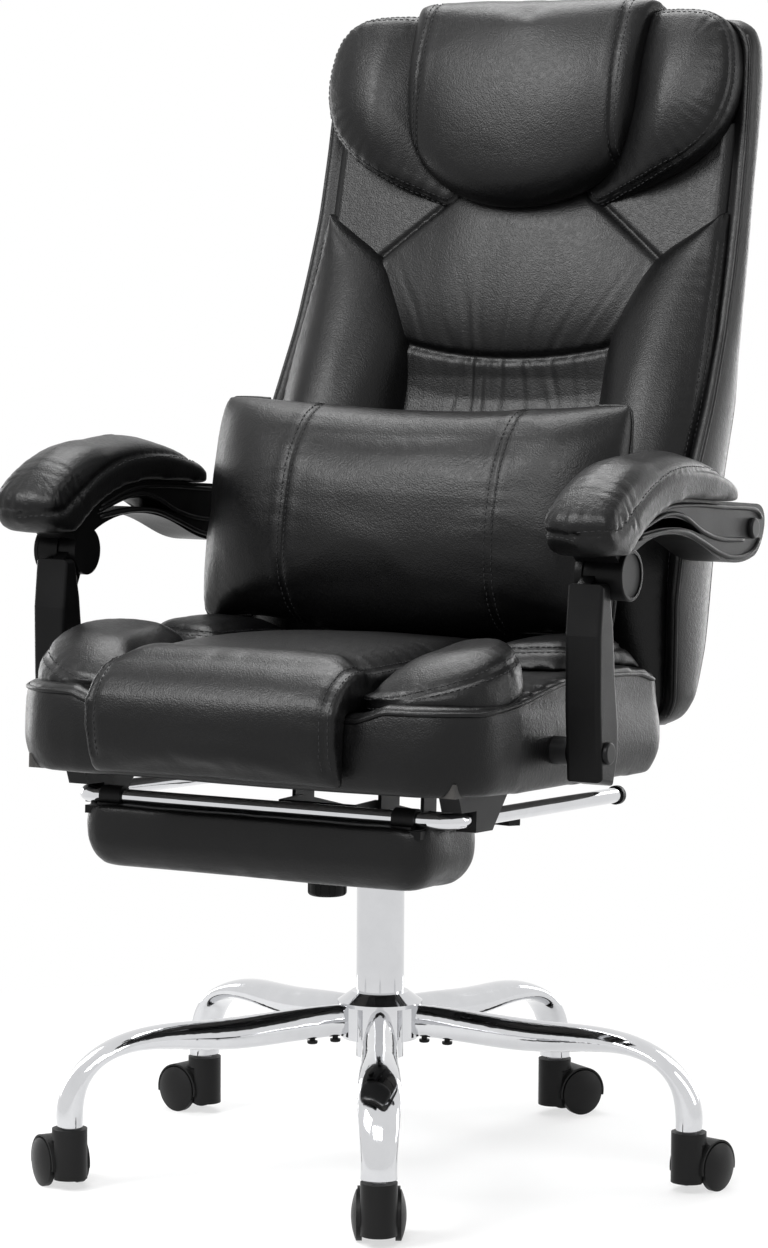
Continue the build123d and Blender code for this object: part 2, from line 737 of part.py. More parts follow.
def tension_buffer():
    bottom = HOUSING_BOTTOM + HOUSING_WALL
    ring = disc(BUFFER_RADIUS, bottom, bottom + BUFFER_HEIGHT, KNOB_Y)
    return ring - disc(KNOB_BOLT_RADIUS + RUNNING_GAP, bottom, bottom + BUFFER_HEIGHT, KNOB_Y)


def tension_knob():
    buffer_top = HOUSING_BOTTOM + HOUSING_WALL + BUFFER_HEIGHT
    neck_top = HOUSING_BOTTOM - FACE_GAP
    grip = disc(KNOB_RADIUS, KNOB_BOTTOM, KNOB_GRIP_TOP)
    grip = fillet(grip.edges().group_by(Axis.Z)[0], KNOB_FLUTE_RADIUS)
    for k in range(KNOB_FLUTES):
        flute = Pos(KNOB_RADIUS + KNOB_FLUTE_RADIUS / 2, 0, 0) * disc(
            KNOB_FLUTE_RADIUS, KNOB_BOTTOM, KNOB_GRIP_TOP
        )
        grip = grip - Rot(0, 0, 360.0 / KNOB_FLUTES * k) * flute
    grip = grip + disc(KNOB_NECK_RADIUS, KNOB_GRIP_TOP, neck_top)
    nut_bottom = buffer_top + FACE_GAP
    grip = grip + disc(KNOB_BOLT_RADIUS, KNOB_GRIP_TOP, nut_bottom + KNOB_NUT_HEIGHT)
    grip = grip + disc(KNOB_NUT_RADIUS, nut_bottom, nut_bottom + KNOB_NUT_HEIGHT)
    return Pos(0, KNOB_Y, 0) * grip


def lever(inside, reach):
    """Rod along +X with a flared paddle at its end, on the X axis."""
    neck = reach - PADDLE_LENGTH
    root = PADDLE_ROOT_WIDTH / 2
    tip = PADDLE_TIP_WIDTH / 2
    edge = ((neck, -root), (reach - root, -tip), (reach, 0), (reach - root, tip), (neck, root))
    outline = Polyline(*[(x, y, 0) for x, y in edge], close=True)
    paddle = extrude(make_face(outline), PADDLE_THICKNESS / 2, dir=(0, 0, 1), both=True)
    return rod_x(LEVER_RADIUS, inside, neck + PADDLE_ROOT_WIDTH, 0, 0) + paddle


def height_lever():
    side = HOUSING_HALF_WIDTH - HOUSING_WALL / 2
    handle = lever(side - HEIGHT_LEVER_INSIDE, HEIGHT_LEVER_REACH)
    return Pos(0, HEIGHT_LEVER_Y, HEIGHT_LEVER_Z) * Rot(0, 0, 180) * handle


def recline_lever():
    handle = lever(PLATE_HALF_WIDTH - RECLINE_LEVER_INSIDE, RECLINE_LEVER_REACH)
    return raked(Pos(0, RECLINE_LEVER_Y, RECLINE_LEVER_Z) * handle)


# Seat

PLATE_BOTTOM = SEAT_BOTTOM - PLATE_THICKNESS
EAR_INNER = HOUSING_HALF_WIDTH + EAR_GAP
EAR_OUTER = EAR_INNER + EAR_THICKNESS


def seat_screws():
    screws = []
    for x in (SCREW_INSET - PLATE_HALF_WIDTH, PLATE_HALF_WIDTH - SCREW_INSET):
        for y in (PLATE_FRONT + SCREW_INSET, PLATE_REAR - SCREW_INSET):
            head = disc(SCREW_HEAD_RADIUS, PLATE_BOTTOM - SCREW_HEAD_HEIGHT, PLATE_BOTTOM)
            shank = disc(SCREW_RADIUS, PLATE_BOTTOM, SEAT_BOTTOM + SCREW_DEPTH)
            screws.append(Pos(x, y, 0) * (head + shank))
    return screws


def seat_plate():
    plate = block(
        (-PLATE_HALF_WIDTH, PLATE_HALF_WIDTH), (PLATE_FRONT, PLATE_REAR), (PLATE_BOTTOM, SEAT_BOTTOM)
    )
    ear = block(
        (EAR_INNER, EAR_OUTER), (TILT_Y - EAR_HALF_LENGTH, TILT_Y + EAR_HALF_LENGTH), (TILT_Z, PLATE_BOTTOM)
    )
    ear = ear + rod_x(EAR_RADIUS, EAR_INNER, EAR_OUTER, TILT_Y, TILT_Z)
    ear = ear - rod_x(TILT_PIN_RADIUS, EAR_INNER, EAR_OUTER, TILT_Y, TILT_Z)
    flange = block(
        (PLATE_HALF_WIDTH - PLATE_THICKNESS, PLATE_HALF_WIDTH),
        (RECLINE_LEVER_Y - LEVER_FLANGE_HALF_LENGTH, RECLINE_LEVER_Y + LEVER_FLANGE_HALF_LENGTH),
        (RECLINE_LEVER_Z - LEVER_FLANGE_DROP, PLATE_BOTTOM),
    )
    flange = flange - rod_x(LEVER_HOLE_RADIUS, 0, PLATE_HALF_WIDTH, RECLINE_LEVER_Y, RECLINE_LEVER_Z)
    plate = plate + ear + mirrored(ear) + flange
    for screw in seat_screws():
        plate = plate - screw
    return plate


def tilt_pin():
    reach = EAR_OUTER + HOUSING_WALL
    return rod_x(TILT_PIN_RADIUS, -reach, reach, TILT_Y, TILT_Z)


def plain_seat_board():
    return block(
        (SEAT_BOARD_MARGIN - SEAT_HALF_WIDTH, SEAT_HALF_WIDTH - SEAT_BOARD_MARGIN),
        (SEAT_FRONT + SEAT_BOARD_MARGIN, SEAT_REAR - SEAT_BOARD_MARGIN),
        (SEAT_BOTTOM, SEAT_BOTTOM + SEAT_BOARD_THICKNESS),
    )


def seat_board():
    board = plain_seat_board()
    for screw in seat_screws():
        board = board - screw
    return board


def rounded_plate(width, depth, front_radius, rear_radius):
    plate = Rectangle(width, depth)
    plate = fillet(plate.vertices().group_by(Axis.Y)[0], front_radius)
    return fillet(plate.vertices().group_by(Axis.Y)[-1], rear_radius)


def stacked(x_range, y_range, corners, layers):
    """Cushion through plates with rounded front and rear corners, given as (height, inset) layers."""
    middle = ((x_range[0] + x_range[1]) / 2, (y_range[0] + y_range[1]) / 2)
    width = x_range[1] - x_range[0]
    depth = y_range[1] - y_range[0]
    sections = []
    for height, inset in layers:
        radii = [max(corner - inset, corner / 4) for corner in corners]
        shape = rounded_plate(width - 2 * inset, depth - 2 * inset, *radii)
        sections.append(Pos(middle[0], middle[1], height) * shape)
    return loft(sections)


def seat_walls():
    """Raised sides of the seat's base, which the side pads lie on."""
    inset = SEAT_TOP_INSET
    width = 2 * (SEAT_HALF_WIDTH - inset)
    depth = SEAT_REAR - SEAT_FRONT - 2 * inset
    plate = rounded_plate(width, depth, SEAT_CORNER_RADIUS - inset, SEAT_REAR_CORNER_RADIUS - inset)
    foot = SEAT_BOX_TOP - SEAT_WALL_FOOT
    plan = extrude(Pos(0, (SEAT_FRONT + SEAT_REAR) / 2, foot) * plate, SIDE_PAD_HEIGHT)
    top = [(0, y, SEAT_BOX_TOP + rise) for y, rise in SEAT_WALL_LINE]
    edges = [
        Spline(*top),
        Line(top[-1], (0, top[-1][1], foot)),
        Line((0, top[-1][1], foot), (0, top[0][1], foot)),
        Line((0, top[0][1], foot), top[0]),
    ]
    inner = CENTRE_HALF_WIDTH + SIDE_PAD_GAP
    side = extrude(Pos(inner, 0, 0) * make_face(edges), SEAT_HALF_WIDTH - inner, dir=(1, 0, 0))
    return both_sides(side & plan)


def seat_box():
    height = SEAT_BOX_TOP - SEAT_BOTTOM
    layers = (
        (SEAT_BOTTOM, 12.0),
        (SEAT_BOTTOM + 0.28 * height, 2.5),
        (SEAT_BOTTOM + 0.72 * height, 1.0),
        (SEAT_BOX_TOP, SEAT_TOP_INSET),
    )
    corners = (SEAT_CORNER_RADIUS, SEAT_REAR_CORNER_RADIUS)
    box = stacked((-SEAT_HALF_WIDTH, SEAT_HALF_WIDTH), (SEAT_FRONT, SEAT_REAR), corners, layers)
    for wall in seat_walls():
        box = box + wall
    box = box - plain_seat_board()
    y, z = in_seat_frame(POST_PIVOT)
    depth = SEAT_HALF_WIDTH - ARM_BOLT_DEPTH
    bolt = rod_x(ARM_BOLT_RADIUS, depth, ARM_OUTER, y, z)
    seat = rod_x(ARM_SPACER_RADIUS, SEAT_HALF_WIDTH - SPACER_INSET, ARM_OUTER, y, z)
    for hole in both_sides(bolt) + both_sides(seat):
        box = box - hole
    return box


def centre_profile(x, crown):
    """Side view of the seat's centre cushion, with its fall over the front edge."""
    base = SEAT_BOX_TOP + CUSHION_GAP
    rear = SEAT_REAR - CENTRE_REAR_SETBACK
    back_of_fall = SEAT_FRONT - CENTRE_FALL_GAP
    front = back_of_fall - CENTRE_FALL
    swell = CENTRE_CROWN * crown
    knee_top = base + CENTRE_HEIGHT - 4 + swell * 0.6
    rear_top = base + CENTRE_REAR_HEIGHT + swell * 0.7
    corners = [
        (x, rear, base),
        (x, rear, rear_top),
        (x, SEAT_FRONT + CENTRE_KNEE_DEPTH, knee_top),
        (x, front + 2 - swell * 0.3, base + 2),
        (x, front + 19, CENTRE_FALL_BOTTOM),
        (x, back_of_fall, CENTRE_FALL_BOTTOM),
        (x, back_of_fall, base),
    ]
    top_middle = (x, (SEAT_FRONT + rear) / 2, base + CENTRE_HEIGHT + swell)
    knee_middle = (x, front + CENTRE_KNEE_ROUND - swell * 0.3, base + CENTRE_HEIGHT * 0.62 + swell * 0.3)
    fall_middle = (x, front + 5 - swell * 0.3, (base + CENTRE_FALL_BOTTOM) / 2 - 4)
    edges = [
        Line(corners[0], corners[1]),
        ThreePointArc(corners[1], top_middle, corners[2]),
        ThreePointArc(corners[2], knee_middle, corners[3]),
        ThreePointArc(corners[3], fall_middle, corners[4]),
        Line(corners[4], corners[5]),
        Line(corners[5], corners[6]),
        Line(corners[6], corners[0]),
    ]
    return make_face(edges)


def seat_centre():
    inner = CENTRE_HALF_WIDTH * 0.8
    stations = ((-CENTRE_HALF_WIDTH, 0.0), (-inner, 0.8), (0.0, 1.0), (inner, 0.8), (CENTRE_HALF_WIDTH, 0.0))
    return loft([centre_profile(x, crown) for x, crown in stations], ruled=True)


def side_pad(shape, peak, y_range):
    """Pad beside the seat's centre, highest over its peak, from an outline in shares of its room."""
    base = SEAT_BOX_TOP + CUSHION_GAP
    x_range = (CENTRE_HALF_WIDTH + SIDE_PAD_GAP, SEAT_HALF_WIDTH - SIDE_PAD_GAP)
    width = x_range[1] - x_range[0]
    depth = y_range[1] - y_range[0]
    layers = ((0.0, 0.95), (0.22, 1.0), (0.42, 0.97), (0.76, 0.8), (1.0, 0.5))
    sections = []
    for rise, scale in layers:
        shares = [(peak[0] + (u - peak[0]) * scale, peak[1] + (v - peak[1]) * scale) for u, v in shape]
        height = base + rise * SIDE_PAD_HEIGHT
        points = [(x_range[0] + u * width, y_range[0] + v * depth, height) for u, v in shares]
        sections.append(make_face(Spline(*points, periodic=True)))
    return loft(sections)


def seat_side_pads():
    front = (SEAT_FRONT + SIDE_PAD_SETBACK, SIDE_PAD_SPLIT - SIDE_PAD_GAP / 2)
    rear = (SIDE_PAD_SPLIT + SIDE_PAD_GAP / 2, SEAT_REAR - SIDE_PAD_SETBACK)
    pads = [side_pad(FRONT_PAD_SHAPE, FRONT_PAD_PEAK, front), side_pad(REAR_PAD_SHAPE, REAR_PAD_PEAK, rear)]
    wall = seat_walls()[0]
    pads = [pad - wall for pad in pads]
    return [side for pad in pads for side in both_sides(pad)]


def pivot_bolts():
    """Arm post bolts on the seat's sides, and the pins of the recline hinge."""
    y, z = in_seat_frame(POST_PIVOT)
    bolt = rod_x(ARM_BOLT_RADIUS, SEAT_HALF_WIDTH - ARM_BOLT_DEPTH, POST_OUTER + FACE_GAP, y, z)
    spacer = (SEAT_HALF_WIDTH - SPACER_INSET, ARM_INNER - FACE_GAP)
    bolt = bolt + rod_x(ARM_SPACER_RADIUS, *spacer, y, z)
    cap_foot = POST_OUTER + FACE_GAP
    cap = rod_x(ARM_BOLT_CAP_RADIUS, cap_foot, cap_foot + ARM_BOLT_CAP_HEIGHT, y, z)
    cap = fillet(cap.edges().group_by(Axis.X)[-1], ARM_BOLT_CAP_HEIGHT / 2)
    y, z = in_seat_frame((HINGE_Y, HINGE_Z))
    far = HINGE_PLATE_X + 2 * HINGE_PLATE + HINGE_PLATE_GAP
    pin = rod_x(HINGE_PIN_RADIUS, HINGE_PLATE_X - HINGE_PIN_SPARE, far + HINGE_PIN_SPARE, y, z)
    return both_sides(bolt + cap) + both_sides(pin)


def hinge_bracket():
    """Arm from under the seat board to the recline hinge."""
    y, z = in_seat_frame((HINGE_Y, HINGE_Z))
    foot = SEAT_BOTTOM - HINGE_FOOT_HEIGHT
    outline = (
        (HINGE_FOOT_FRONT, foot),
        (HINGE_FOOT_FRONT, SEAT_BOTTOM),
        (HINGE_ARM_FRONT - 2, SEAT_BOTTOM),
        (HINGE_ARM_FRONT, z - 2 * HINGE_RADIUS),
        (y - HINGE_RADIUS, z),
        (y, z - HINGE_RADIUS),
        (HINGE_ARM_FRONT + HINGE_ARM_WIDTH, z - 3 * HINGE_RADIUS),
        (HINGE_ARM_FRONT + HINGE_ARM_WIDTH, foot),
    )
    far = HINGE_PLATE_X + HINGE_PLATE
    plate = side_plate(outline, HINGE_PLATE_X, far)
    plate = plate + rod_x(HINGE_RADIUS, HINGE_PLATE_X, far, y, z)
    return plate - rod_x(HINGE_PIN_RADIUS, HINGE_PLATE_X, far, y, z)


# Footrest

RAIL_HEIGHT = SEAT_BOTTOM - RAIL_DROP
REST_HALF_WIDTH = RAIL_HALF_SPAN - REST_SIDE_GAP
REST_TOP = RAIL_HEIGHT - RAIL_RADIUS - REST_BAR_GAP
REST_FRONT = RAIL_FRONT - REST_FRONT_LIP
REST_REAR = REST_FRONT + REST_DEPTH
CLIP_FAR = RAIL_HALF_SPAN - RAIL_BEND_RADIUS - CLIP_END_GAP


def rail_sweep(radius):
    path = FilletPolyline(
        (RAIL_HALF_SPAN, RAIL_REAR, RAIL_HEIGHT),
        (RAIL_HALF_SPAN, RAIL_FRONT, RAIL_HEIGHT),
        (-RAIL_HALF_SPAN, RAIL_FRONT, RAIL_HEIGHT),
        (-RAIL_HALF_SPAN, RAIL_REAR, RAIL_HEIGHT),
        radius=RAIL_BEND_RADIUS,
    )
    section = Plane(origin=path @ 0, z_dir=path % 0) * Circle(radius)
    return sweep(section, path=path)


def footrest_rails():
    return rail_sweep(RAIL_RADIUS) - rail_sweep(RAIL_RADIUS - RAIL_WALL)


def rail_cap():
    cap = Cylinder(CAP_RADIUS, CAP_LENGTH, align=UP)
    cap = fillet(cap.edges().group_by(Axis.Z)[-1], CAP_LENGTH / 4)
    cap = cap + Pos(0, 0, -CAP_PLUG) * Cylinder(RAIL_RADIUS - RAIL_WALL, CAP_PLUG, align=UP)
    return Pos(RAIL_HALF_SPAN, RAIL_REAR, RAIL_HEIGHT) * Rot(-90, 0, 0) * cap


def rail_bracket():
    floor = RAIL_HEIGHT - RAIL_RADIUS - BRACKET_FLOOR
    outline = (
        (BRACKET_FRONT, SEAT_BOTTOM),
        (BRACKET_FRONT + BRACKET_TAPER, floor),
        (BRACKET_REAR - 2 * BRACKET_TAPER, floor),
        (BRACKET_REAR, SEAT_BOTTOM),
    )
    plate = side_plate(
        outline, RAIL_HALF_SPAN - BRACKET_HALF_WIDTH, RAIL_HALF_SPAN + BRACKET_HALF_WIDTH
    )
    bore = Pos(RAIL_HALF_SPAN, 0, RAIL_HEIGHT) * Rot(90, 0, 0) * Cylinder(
        RAIL_RADIUS + RUNNING_GAP, 3 * abs(BRACKET_FRONT)
    )
    corner_y = RAIL_FRONT + RAIL_BEND_RADIUS + BRACKET_FLOOR
    bar_top = RAIL_HEIGHT + RAIL_RADIUS + REST_BAR_GAP
    plate = plate - block((0, 2 * RAIL_HALF_SPAN), (BRACKET_FRONT, corner_y), (0, bar_top))
    return plate - bore


def footrest_board():
    return block(
        (REST_BOARD_MARGIN - REST_HALF_WIDTH, REST_HALF_WIDTH - REST_BOARD_MARGIN),
        (REST_FRONT + REST_BOARD_MARGIN, REST_REAR - REST_BOARD_MARGIN),
        (REST_TOP - REST_BOARD_THICKNESS, REST_TOP),
    )


def footrest_pad():
    layers = (
        (REST_TOP - FACE_GAP, 3.0),
        (REST_TOP - 0.3 * REST_HEIGHT, 0.5),
        (REST_TOP - 0.72 * REST_HEIGHT, 5.0),
        (REST_TOP - REST_HEIGHT, 24.0),
    )
    corners = (REST_CORNER, REST_CORNER)
    pad = stacked((-REST_HALF_WIDTH, REST_HALF_WIDTH), (REST_FRONT, REST_REAR), corners, layers)
    return pad - footrest_board()


def footrest_clip():
    near = CLIP_FAR - CLIP_WIDTH
    far = CLIP_FAR
    clip = rod_x(RAIL_RADIUS + CLIP_WALL, near, far, RAIL_FRONT, RAIL_HEIGHT)
    foot_y = (RAIL_FRONT - CLIP_FOOT, RAIL_FRONT + CLIP_FOOT)
    clip = clip + block((near, far), foot_y, (REST_TOP, REST_TOP + CLIP_WALL))
    clip = clip - block((near, far), (REST_FRONT, REST_REAR), (0, REST_TOP))
    return clip - rod_x(RAIL_RADIUS + RUNNING_GAP, near, far, RAIL_FRONT, RAIL_HEIGHT)


# Back

BACK_REACH = max(x for x, z in BACK_HALF_OUTLINE)
UPPER_START = BACK_FRONT_LINE[-2]
UPPER_END = BACK_FRONT_LINE[-1]
UPPER_LEAN = math.atan2(UPPER_END[0] - UPPER_START[0], UPPER_END[1] - UPPER_START[1])
UPPER_PLANE = Plane(
    origin=(0, UPPER_START[0], UPPER_START[1]),
    x_dir=(1, 0, 0),
    z_dir=(0, -math.cos(UPPER_LEAN), math.sin(UPPER_LEAN)),
)


def back_outline():
    """Front-view outline as a slab through the whole depth."""
    right = [(-x, z) for x, z in BACK_HALF_OUTLINE]
    points = list(BACK_HALF_OUTLINE) + right[::-1]
    wire = Polyline(*[(x, 0, z) for x, z in points], close=True)
    return extrude(make_face(wire), 2 * UPPER_END[0], dir=(0, 1, 0))


def back_board():
    heights = [BACK_BOARD_BOTTOM]
    heights += [z for y, z in BACK_FRONT_LINE if BACK_BOARD_BOTTOM < z < BACK_BOARD_TOP]
    heights += [BACK_BOARD_TOP]
    front = [(line_at(BACK_FRONT_LINE, z) + BACK_BOARD_COVER, z) for z in heights]
    rear = [(y + BACK_BOARD_THICKNESS, z) for y, z in front]
    return side_plate(front + rear[::-1], -BACK_BOARD_HALF_WIDTH, BACK_BOARD_HALF_WIDTH)


def back_shell():
    slab = side_plate(BACK_FRONT_LINE + BACK_REAR_LINE[::-1], -BACK_REACH, BACK_REACH)
    return (slab & back_outline()) - back_board()


def bolster_section(height, inner, crest):
    outer = outline_at(height)
    rear = line_at(BACK_FRONT_LINE, height) - BACK_GAP
    shoulder = crest + BOLSTER_SHOULDER
    middle = (0.58 * outer + 0.42 * inner, crest, height)
    edges = [
        Line((inner, rear, height), (outer, rear, height)),
        Line((outer, rear, height), (outer, shoulder, height)),
        ThreePointArc((outer, shoulder, height), middle, (inner, rear - BOLSTER_LIP, height)),
        Line((inner, rear - BOLSTER_LIP, height), (inner, rear, height)),
    ]
    return make_face(edges)


def rear_arm_bolt():
    y, z = ARM_REAR_BOLT
    cap_foot = ARM_OUTER + FACE_GAP
    bolt = rod_x(ARM_BOLT_RADIUS, outline_at(z) - ARM_BOLT_DEPTH, cap_foot, y, z)
    cap = rod_x(ARM_BOLT_CAP_RADIUS, cap_foot, cap_foot + ARM_BOLT_CAP_HEIGHT, y, z)
    cap = fillet(cap.edges().group_by(Axis.X)[-1], ARM_BOLT_CAP_HEIGHT / 2)
    return bolt + cap


def bolster():
    cushion = loft([bolster_section(*station) for station in BOLSTER_STATIONS], ruled=True)
    return cushion - rear_arm_bolt()


def lower_panel_profile(x, crown):
    heights = [LOWER_PAD_BOTTOM]
    heights += [z for y, z in BACK_FRONT_LINE if LOWER_PAD_BOTTOM < z < LOWER_PAD_TOP]
    heights += [LOWER_PAD_TOP]
    rear = [(x, line_at(BACK_FRONT_LINE, z) - BACK_GAP, z) for z in heights]
    edges = [Line(a, b) for a, b in zip(rear, rear[1:])]
    top = (x, rear[-1][1] - PANEL_EDGE, LOWER_PAD_TOP)
    bottom = (x, rear[0][1] - PANEL_EDGE, LOWER_PAD_BOTTOM)
    middle_z = (LOWER_PAD_TOP + LOWER_PAD_BOTTOM) / 2
    middle_y = line_at(BACK_FRONT_LINE, middle_z) - 2 * PANEL_EDGE - PANEL_CROWN * crown
    edges.append(Line(rear[-1], top))
    edges.append(ThreePointArc(top, (x, middle_y, middle_z), bottom))
    edges.append(Line(bottom, rear[0]))
    return make_face(edges)


def lower_panel():
    inner = PANEL_HALF_WIDTH * 0.7
    stations = ((-PANEL_HALF_WIDTH, 0.0), (-inner, 0.8), (0.0, 1.0), (inner, 0.8), (PANEL_HALF_WIDTH, 0.0))
    return loft([lower_panel_profile(x, crown) for x, crown in stations], ruled=True)


def puffed(outline, layers, smooth=False):
    """Pad on the upper back through scaled outlines, given as (rise, scale) layers."""
    points = [(x, (z - UPPER_START[1]) / math.cos(UPPER_LEAN)) for x, z in outline]
    count = len(points)
    middle = (sum(x for x, v in points) / count, sum(v for x, v in points) / count)
    sections = []
    for rise, scale in layers:
        shrunk = [
            (middle[0] + (x - middle[0]) * scale, middle[1] + (v - middle[1]) * scale) for x, v in points
        ]
        wire = Spline(*shrunk, periodic=True) if smooth else Polyline(*shrunk, close=True)
        sections.append(UPPER_PLANE.offset(rise) * make_face(wire))
    return loft(sections, ruled=not smooth)


def pad_layers(height):
    return ((BACK_GAP, 0.97), (0.3 * height, 1.0), (0.75 * height, 0.92), (height, 0.62))


def head_wing(roll):
    """Side wing of the headrest, cut back where the roll lies over it."""
    wing = puffed(WING_OUTLINE, pad_layers(WING_HEIGHT), smooth=True) - roll
    return max(wing.solids(), key=lambda s: s.volume)


def upper_panel():
    left = [(-x, z) for x, z in UPPER_PANEL]
    return puffed(list(UPPER_PANEL) + left[::-1], pad_layers(UPPER_PANEL_HEIGHT))


def head_roll_section(x, height, lift):
    """Rolled pillow section in the plane of the upper back, seen from the side."""
    low = (HEAD_ROLL_BOTTOM + lift - UPPER_START[1]) / math.cos(UPPER_LEAN)
    high = (HEAD_ROLL_TOP - UPPER_START[1]) / math.cos(UPPER_LEAN)
    length = high - low
    base = [(low + 0.08 * length, BACK_GAP), (high - 0.08 * length, BACK_GAP)]
    upper = (high - 0.16 * length, 0.86 * height)
    lower = (low + 0.16 * length, 0.9 * height)
    arcs = [
        (base[1], (high, 0.42 * height), upper),
        (upper, (low + 0.55 * length, height), lower),
        (lower, (low, 0.45 * height), base[0]),
    ]

    def place(point):
        return UPPER_PLANE.from_local_coords((x, point[0], point[1]))

    edges = [Line(place(base[0]), place(base[1]))]
    edges += [ThreePointArc(*[place(point) for point in arc]) for arc in arcs]
    return make_face(edges)


def headrest_roll():
    left = [(-share, height, lift) for share, height, lift in HEAD_ROLL_STATIONS[:0:-1]]
    sections = []
    for share, height, lift in left + list(HEAD_ROLL_STATIONS):
        sections.append(head_roll_section(share * HEAD_ROLL_HALF_WIDTH, height * HEAD_ROLL_HEIGHT, lift))
    return loft(sections)


def hinge_leaf():
    """Plate from the recline hinge to the front of the shell."""
    near = HINGE_PLATE_X + HINGE_PLATE + HINGE_PLATE_GAP
    far = near + HINGE_PLATE
    outline = (
        (HINGE_Y, HINGE_Z - HINGE_RADIUS),
        (line_at(BACK_FRONT_LINE, LEAF_BOTTOM), LEAF_BOTTOM),
        (line_at(BACK_FRONT_LINE, LEAF_TOP), LEAF_TOP),
        (HINGE_Y, HINGE_Z + HINGE_RADIUS),
    )
    leaf = side_plate(outline, near, far) + rod_x(HINGE_RADIUS, near, far, HINGE_Y, HINGE_Z)
    return leaf - rod_x(HINGE_PIN_RADIUS + RUNNING_GAP, near, far, HINGE_Y, HINGE_Z)


# Lumbar pillow

def pillow_section(share, tall, thick):
    lean = math.radians(PILLOW_LEAN)
    lift = PILLOW_HEIGHT / 2 * (1 - tall)
    plane = Plane(
        origin=(share * PILLOW_HALF_WIDTH, PILLOW_Y, PILLOW_Z + lift),
        x_dir=(0, -math.cos(lean), math.sin(lean)),
        z_dir=(1, 0, 0),
    )
    a = PILLOW_THICKNESS / 2 * thick
    b = PILLOW_HEIGHT / 2 * tall
    quarter = ((1.0, 0.0), (0.92, 0.45), (0.6, 0.83), (0.0, 1.0))
    upper = [(a * u, b * v) for u, v in quarter]
    upper += [(-u, v) for u, v in upper[-2:0:-1]]
    points = upper + [(-u, -v) for u, v in upper]
    return plane * make_face(Spline(*points, periodic=True))


def lumbar_pillow(bolsters):
    left = [(-share, tall, thick) for share, tall, thick in PILLOW_STATIONS[:0:-1]]
    pillow = loft([pillow_section(*station) for station in left + list(PILLOW_STATIONS)])
    for step in range(3):
        gap = min(pillow.distance_to(bolster) for bolster in bolsters)
        pillow = Pos(0, gap - REST_GAP, 0) * pillow
    return pillow


# Armrests

ARM_INNER = max(SEAT_HALF_WIDTH, BACK_REACH) + ARM_SIDE_GAP
ARM_OUTER = ARM_INNER + ARM_WIDTH
POST_OUTER = ARM_INNER + POST_WIDTH
POST_EYE_INNER = ARM_INNER + POST_EYE_INSET
POST_EYE_OUTER = POST_EYE_INNER + POST_EYE_WIDTH
ARM_PAD_INNER = ARM_INNER - ARM_PAD_INNER_LAP
ARM_PAD_OUTER = ARM_OUTER + ARM_PAD_OUTER_LAP


def at_x(x, points):
    return [(x, y, z) for y, z in points]


def arm_frame():
    edges = [
        Spline(*at_x(ARM_INNER, FRAME_TOP[:-1])),
        Line(*at_x(ARM_INNER, FRAME_TOP[-2:])),
        Spline(*at_x(ARM_INNER, (FRAME_TOP[-1],) + FRAME_REAR)),
        Spline(*at_x(ARM_INNER, (FRAME_REAR[-1],) + FRAME_BOTTOM)),
        Polyline(*at_x(ARM_INNER, (FRAME_BOTTOM[-1], FRAME_TOP[0]))),
    ]
    width = ARM_OUTER - ARM_INNER
    frame = extrude(make_face(edges), width, dir=(1, 0, 0))
    slot_edges = [Spline(*at_x(ARM_INNER, SLOT_TOP)), Spline(*at_x(ARM_INNER, SLOT_BOTTOM))]
    frame = frame - extrude(make_face(slot_edges), width, dir=(1, 0, 0))
    y, z = ARM_PIVOT
    turn = math.radians(ARM_NECK_ANGLE)
    chin = (y - ARM_LUG_RADIUS * math.cos(turn), z + ARM_LUG_RADIUS * math.sin(turn))
    neck = side_plate(((y, z), FRAME_BOTTOM[-1], FRAME_TOP[0], chin), ARM_INNER, ARM_OUTER)
    frame = frame + rod_x(ARM_LUG_RADIUS, ARM_INNER, ARM_OUTER, y, z) + neck
    eye_room = (POST_EYE_INNER - ARM_LUG_GAP, POST_EYE_OUTER + ARM_LUG_GAP)
    frame = frame - rod_x(ARM_LUG_RADIUS + ARM_RELIEF / 2, *eye_room, y, z)
    frame = frame - block(eye_room, (y - 2 * ARM_LUG_RADIUS, y + 2 * ARM_LUG_RADIUS), (0, z))
    frame = frame - rod_x(ARM_PIN_RADIUS, ARM_INNER, ARM_OUTER, y, z)
    y, z = ARM_REAR_BOLT
    return frame - rod_x(ARM_BOLT_RADIUS + OPEN_PIVOT_GAP, ARM_INNER, ARM_OUTER, y, z)


def arm_post():
    post = side_plate(POST_OUTLINE, ARM_INNER, POST_OUTER)
    corners = post.edges().filter_by(Axis.X, reverse=True)
    post = fillet(corners, POST_EDGE_FILLET)
    y, z = ARM_PIVOT
    post = post - rod_x(ARM_LUG_RADIUS + ARM_RELIEF, ARM_INNER, POST_OUTER, y, z)
    front, shoulder, rear = POST_OUTLINE[2], POST_OUTLINE[3], POST_OUTLINE[5]
    outline = (
        (y - POST_EYE_RADIUS, z),
        (y + POST_EYE_RADIUS / 2, z),
        rear,
        (front[0] + ARM_RELIEF, rear[1]),
        (shoulder[0], shoulder[1] - 2 * ARM_RELIEF),
    )
    neck = side_plate(outline, POST_EYE_INNER, POST_EYE_OUTER)
    post = post + neck + rod_x(POST_EYE_RADIUS, POST_EYE_INNER, POST_EYE_OUTER, y, z)
    post = post - rod_x(ARM_PIN_RADIUS + RUNNING_GAP, ARM_INNER, POST_OUTER, y, z)
    y, z = POST_PIVOT
    return post - rod_x(ARM_BOLT_RADIUS + RUNNING_GAP, ARM_INNER, POST_OUTER, y, z)


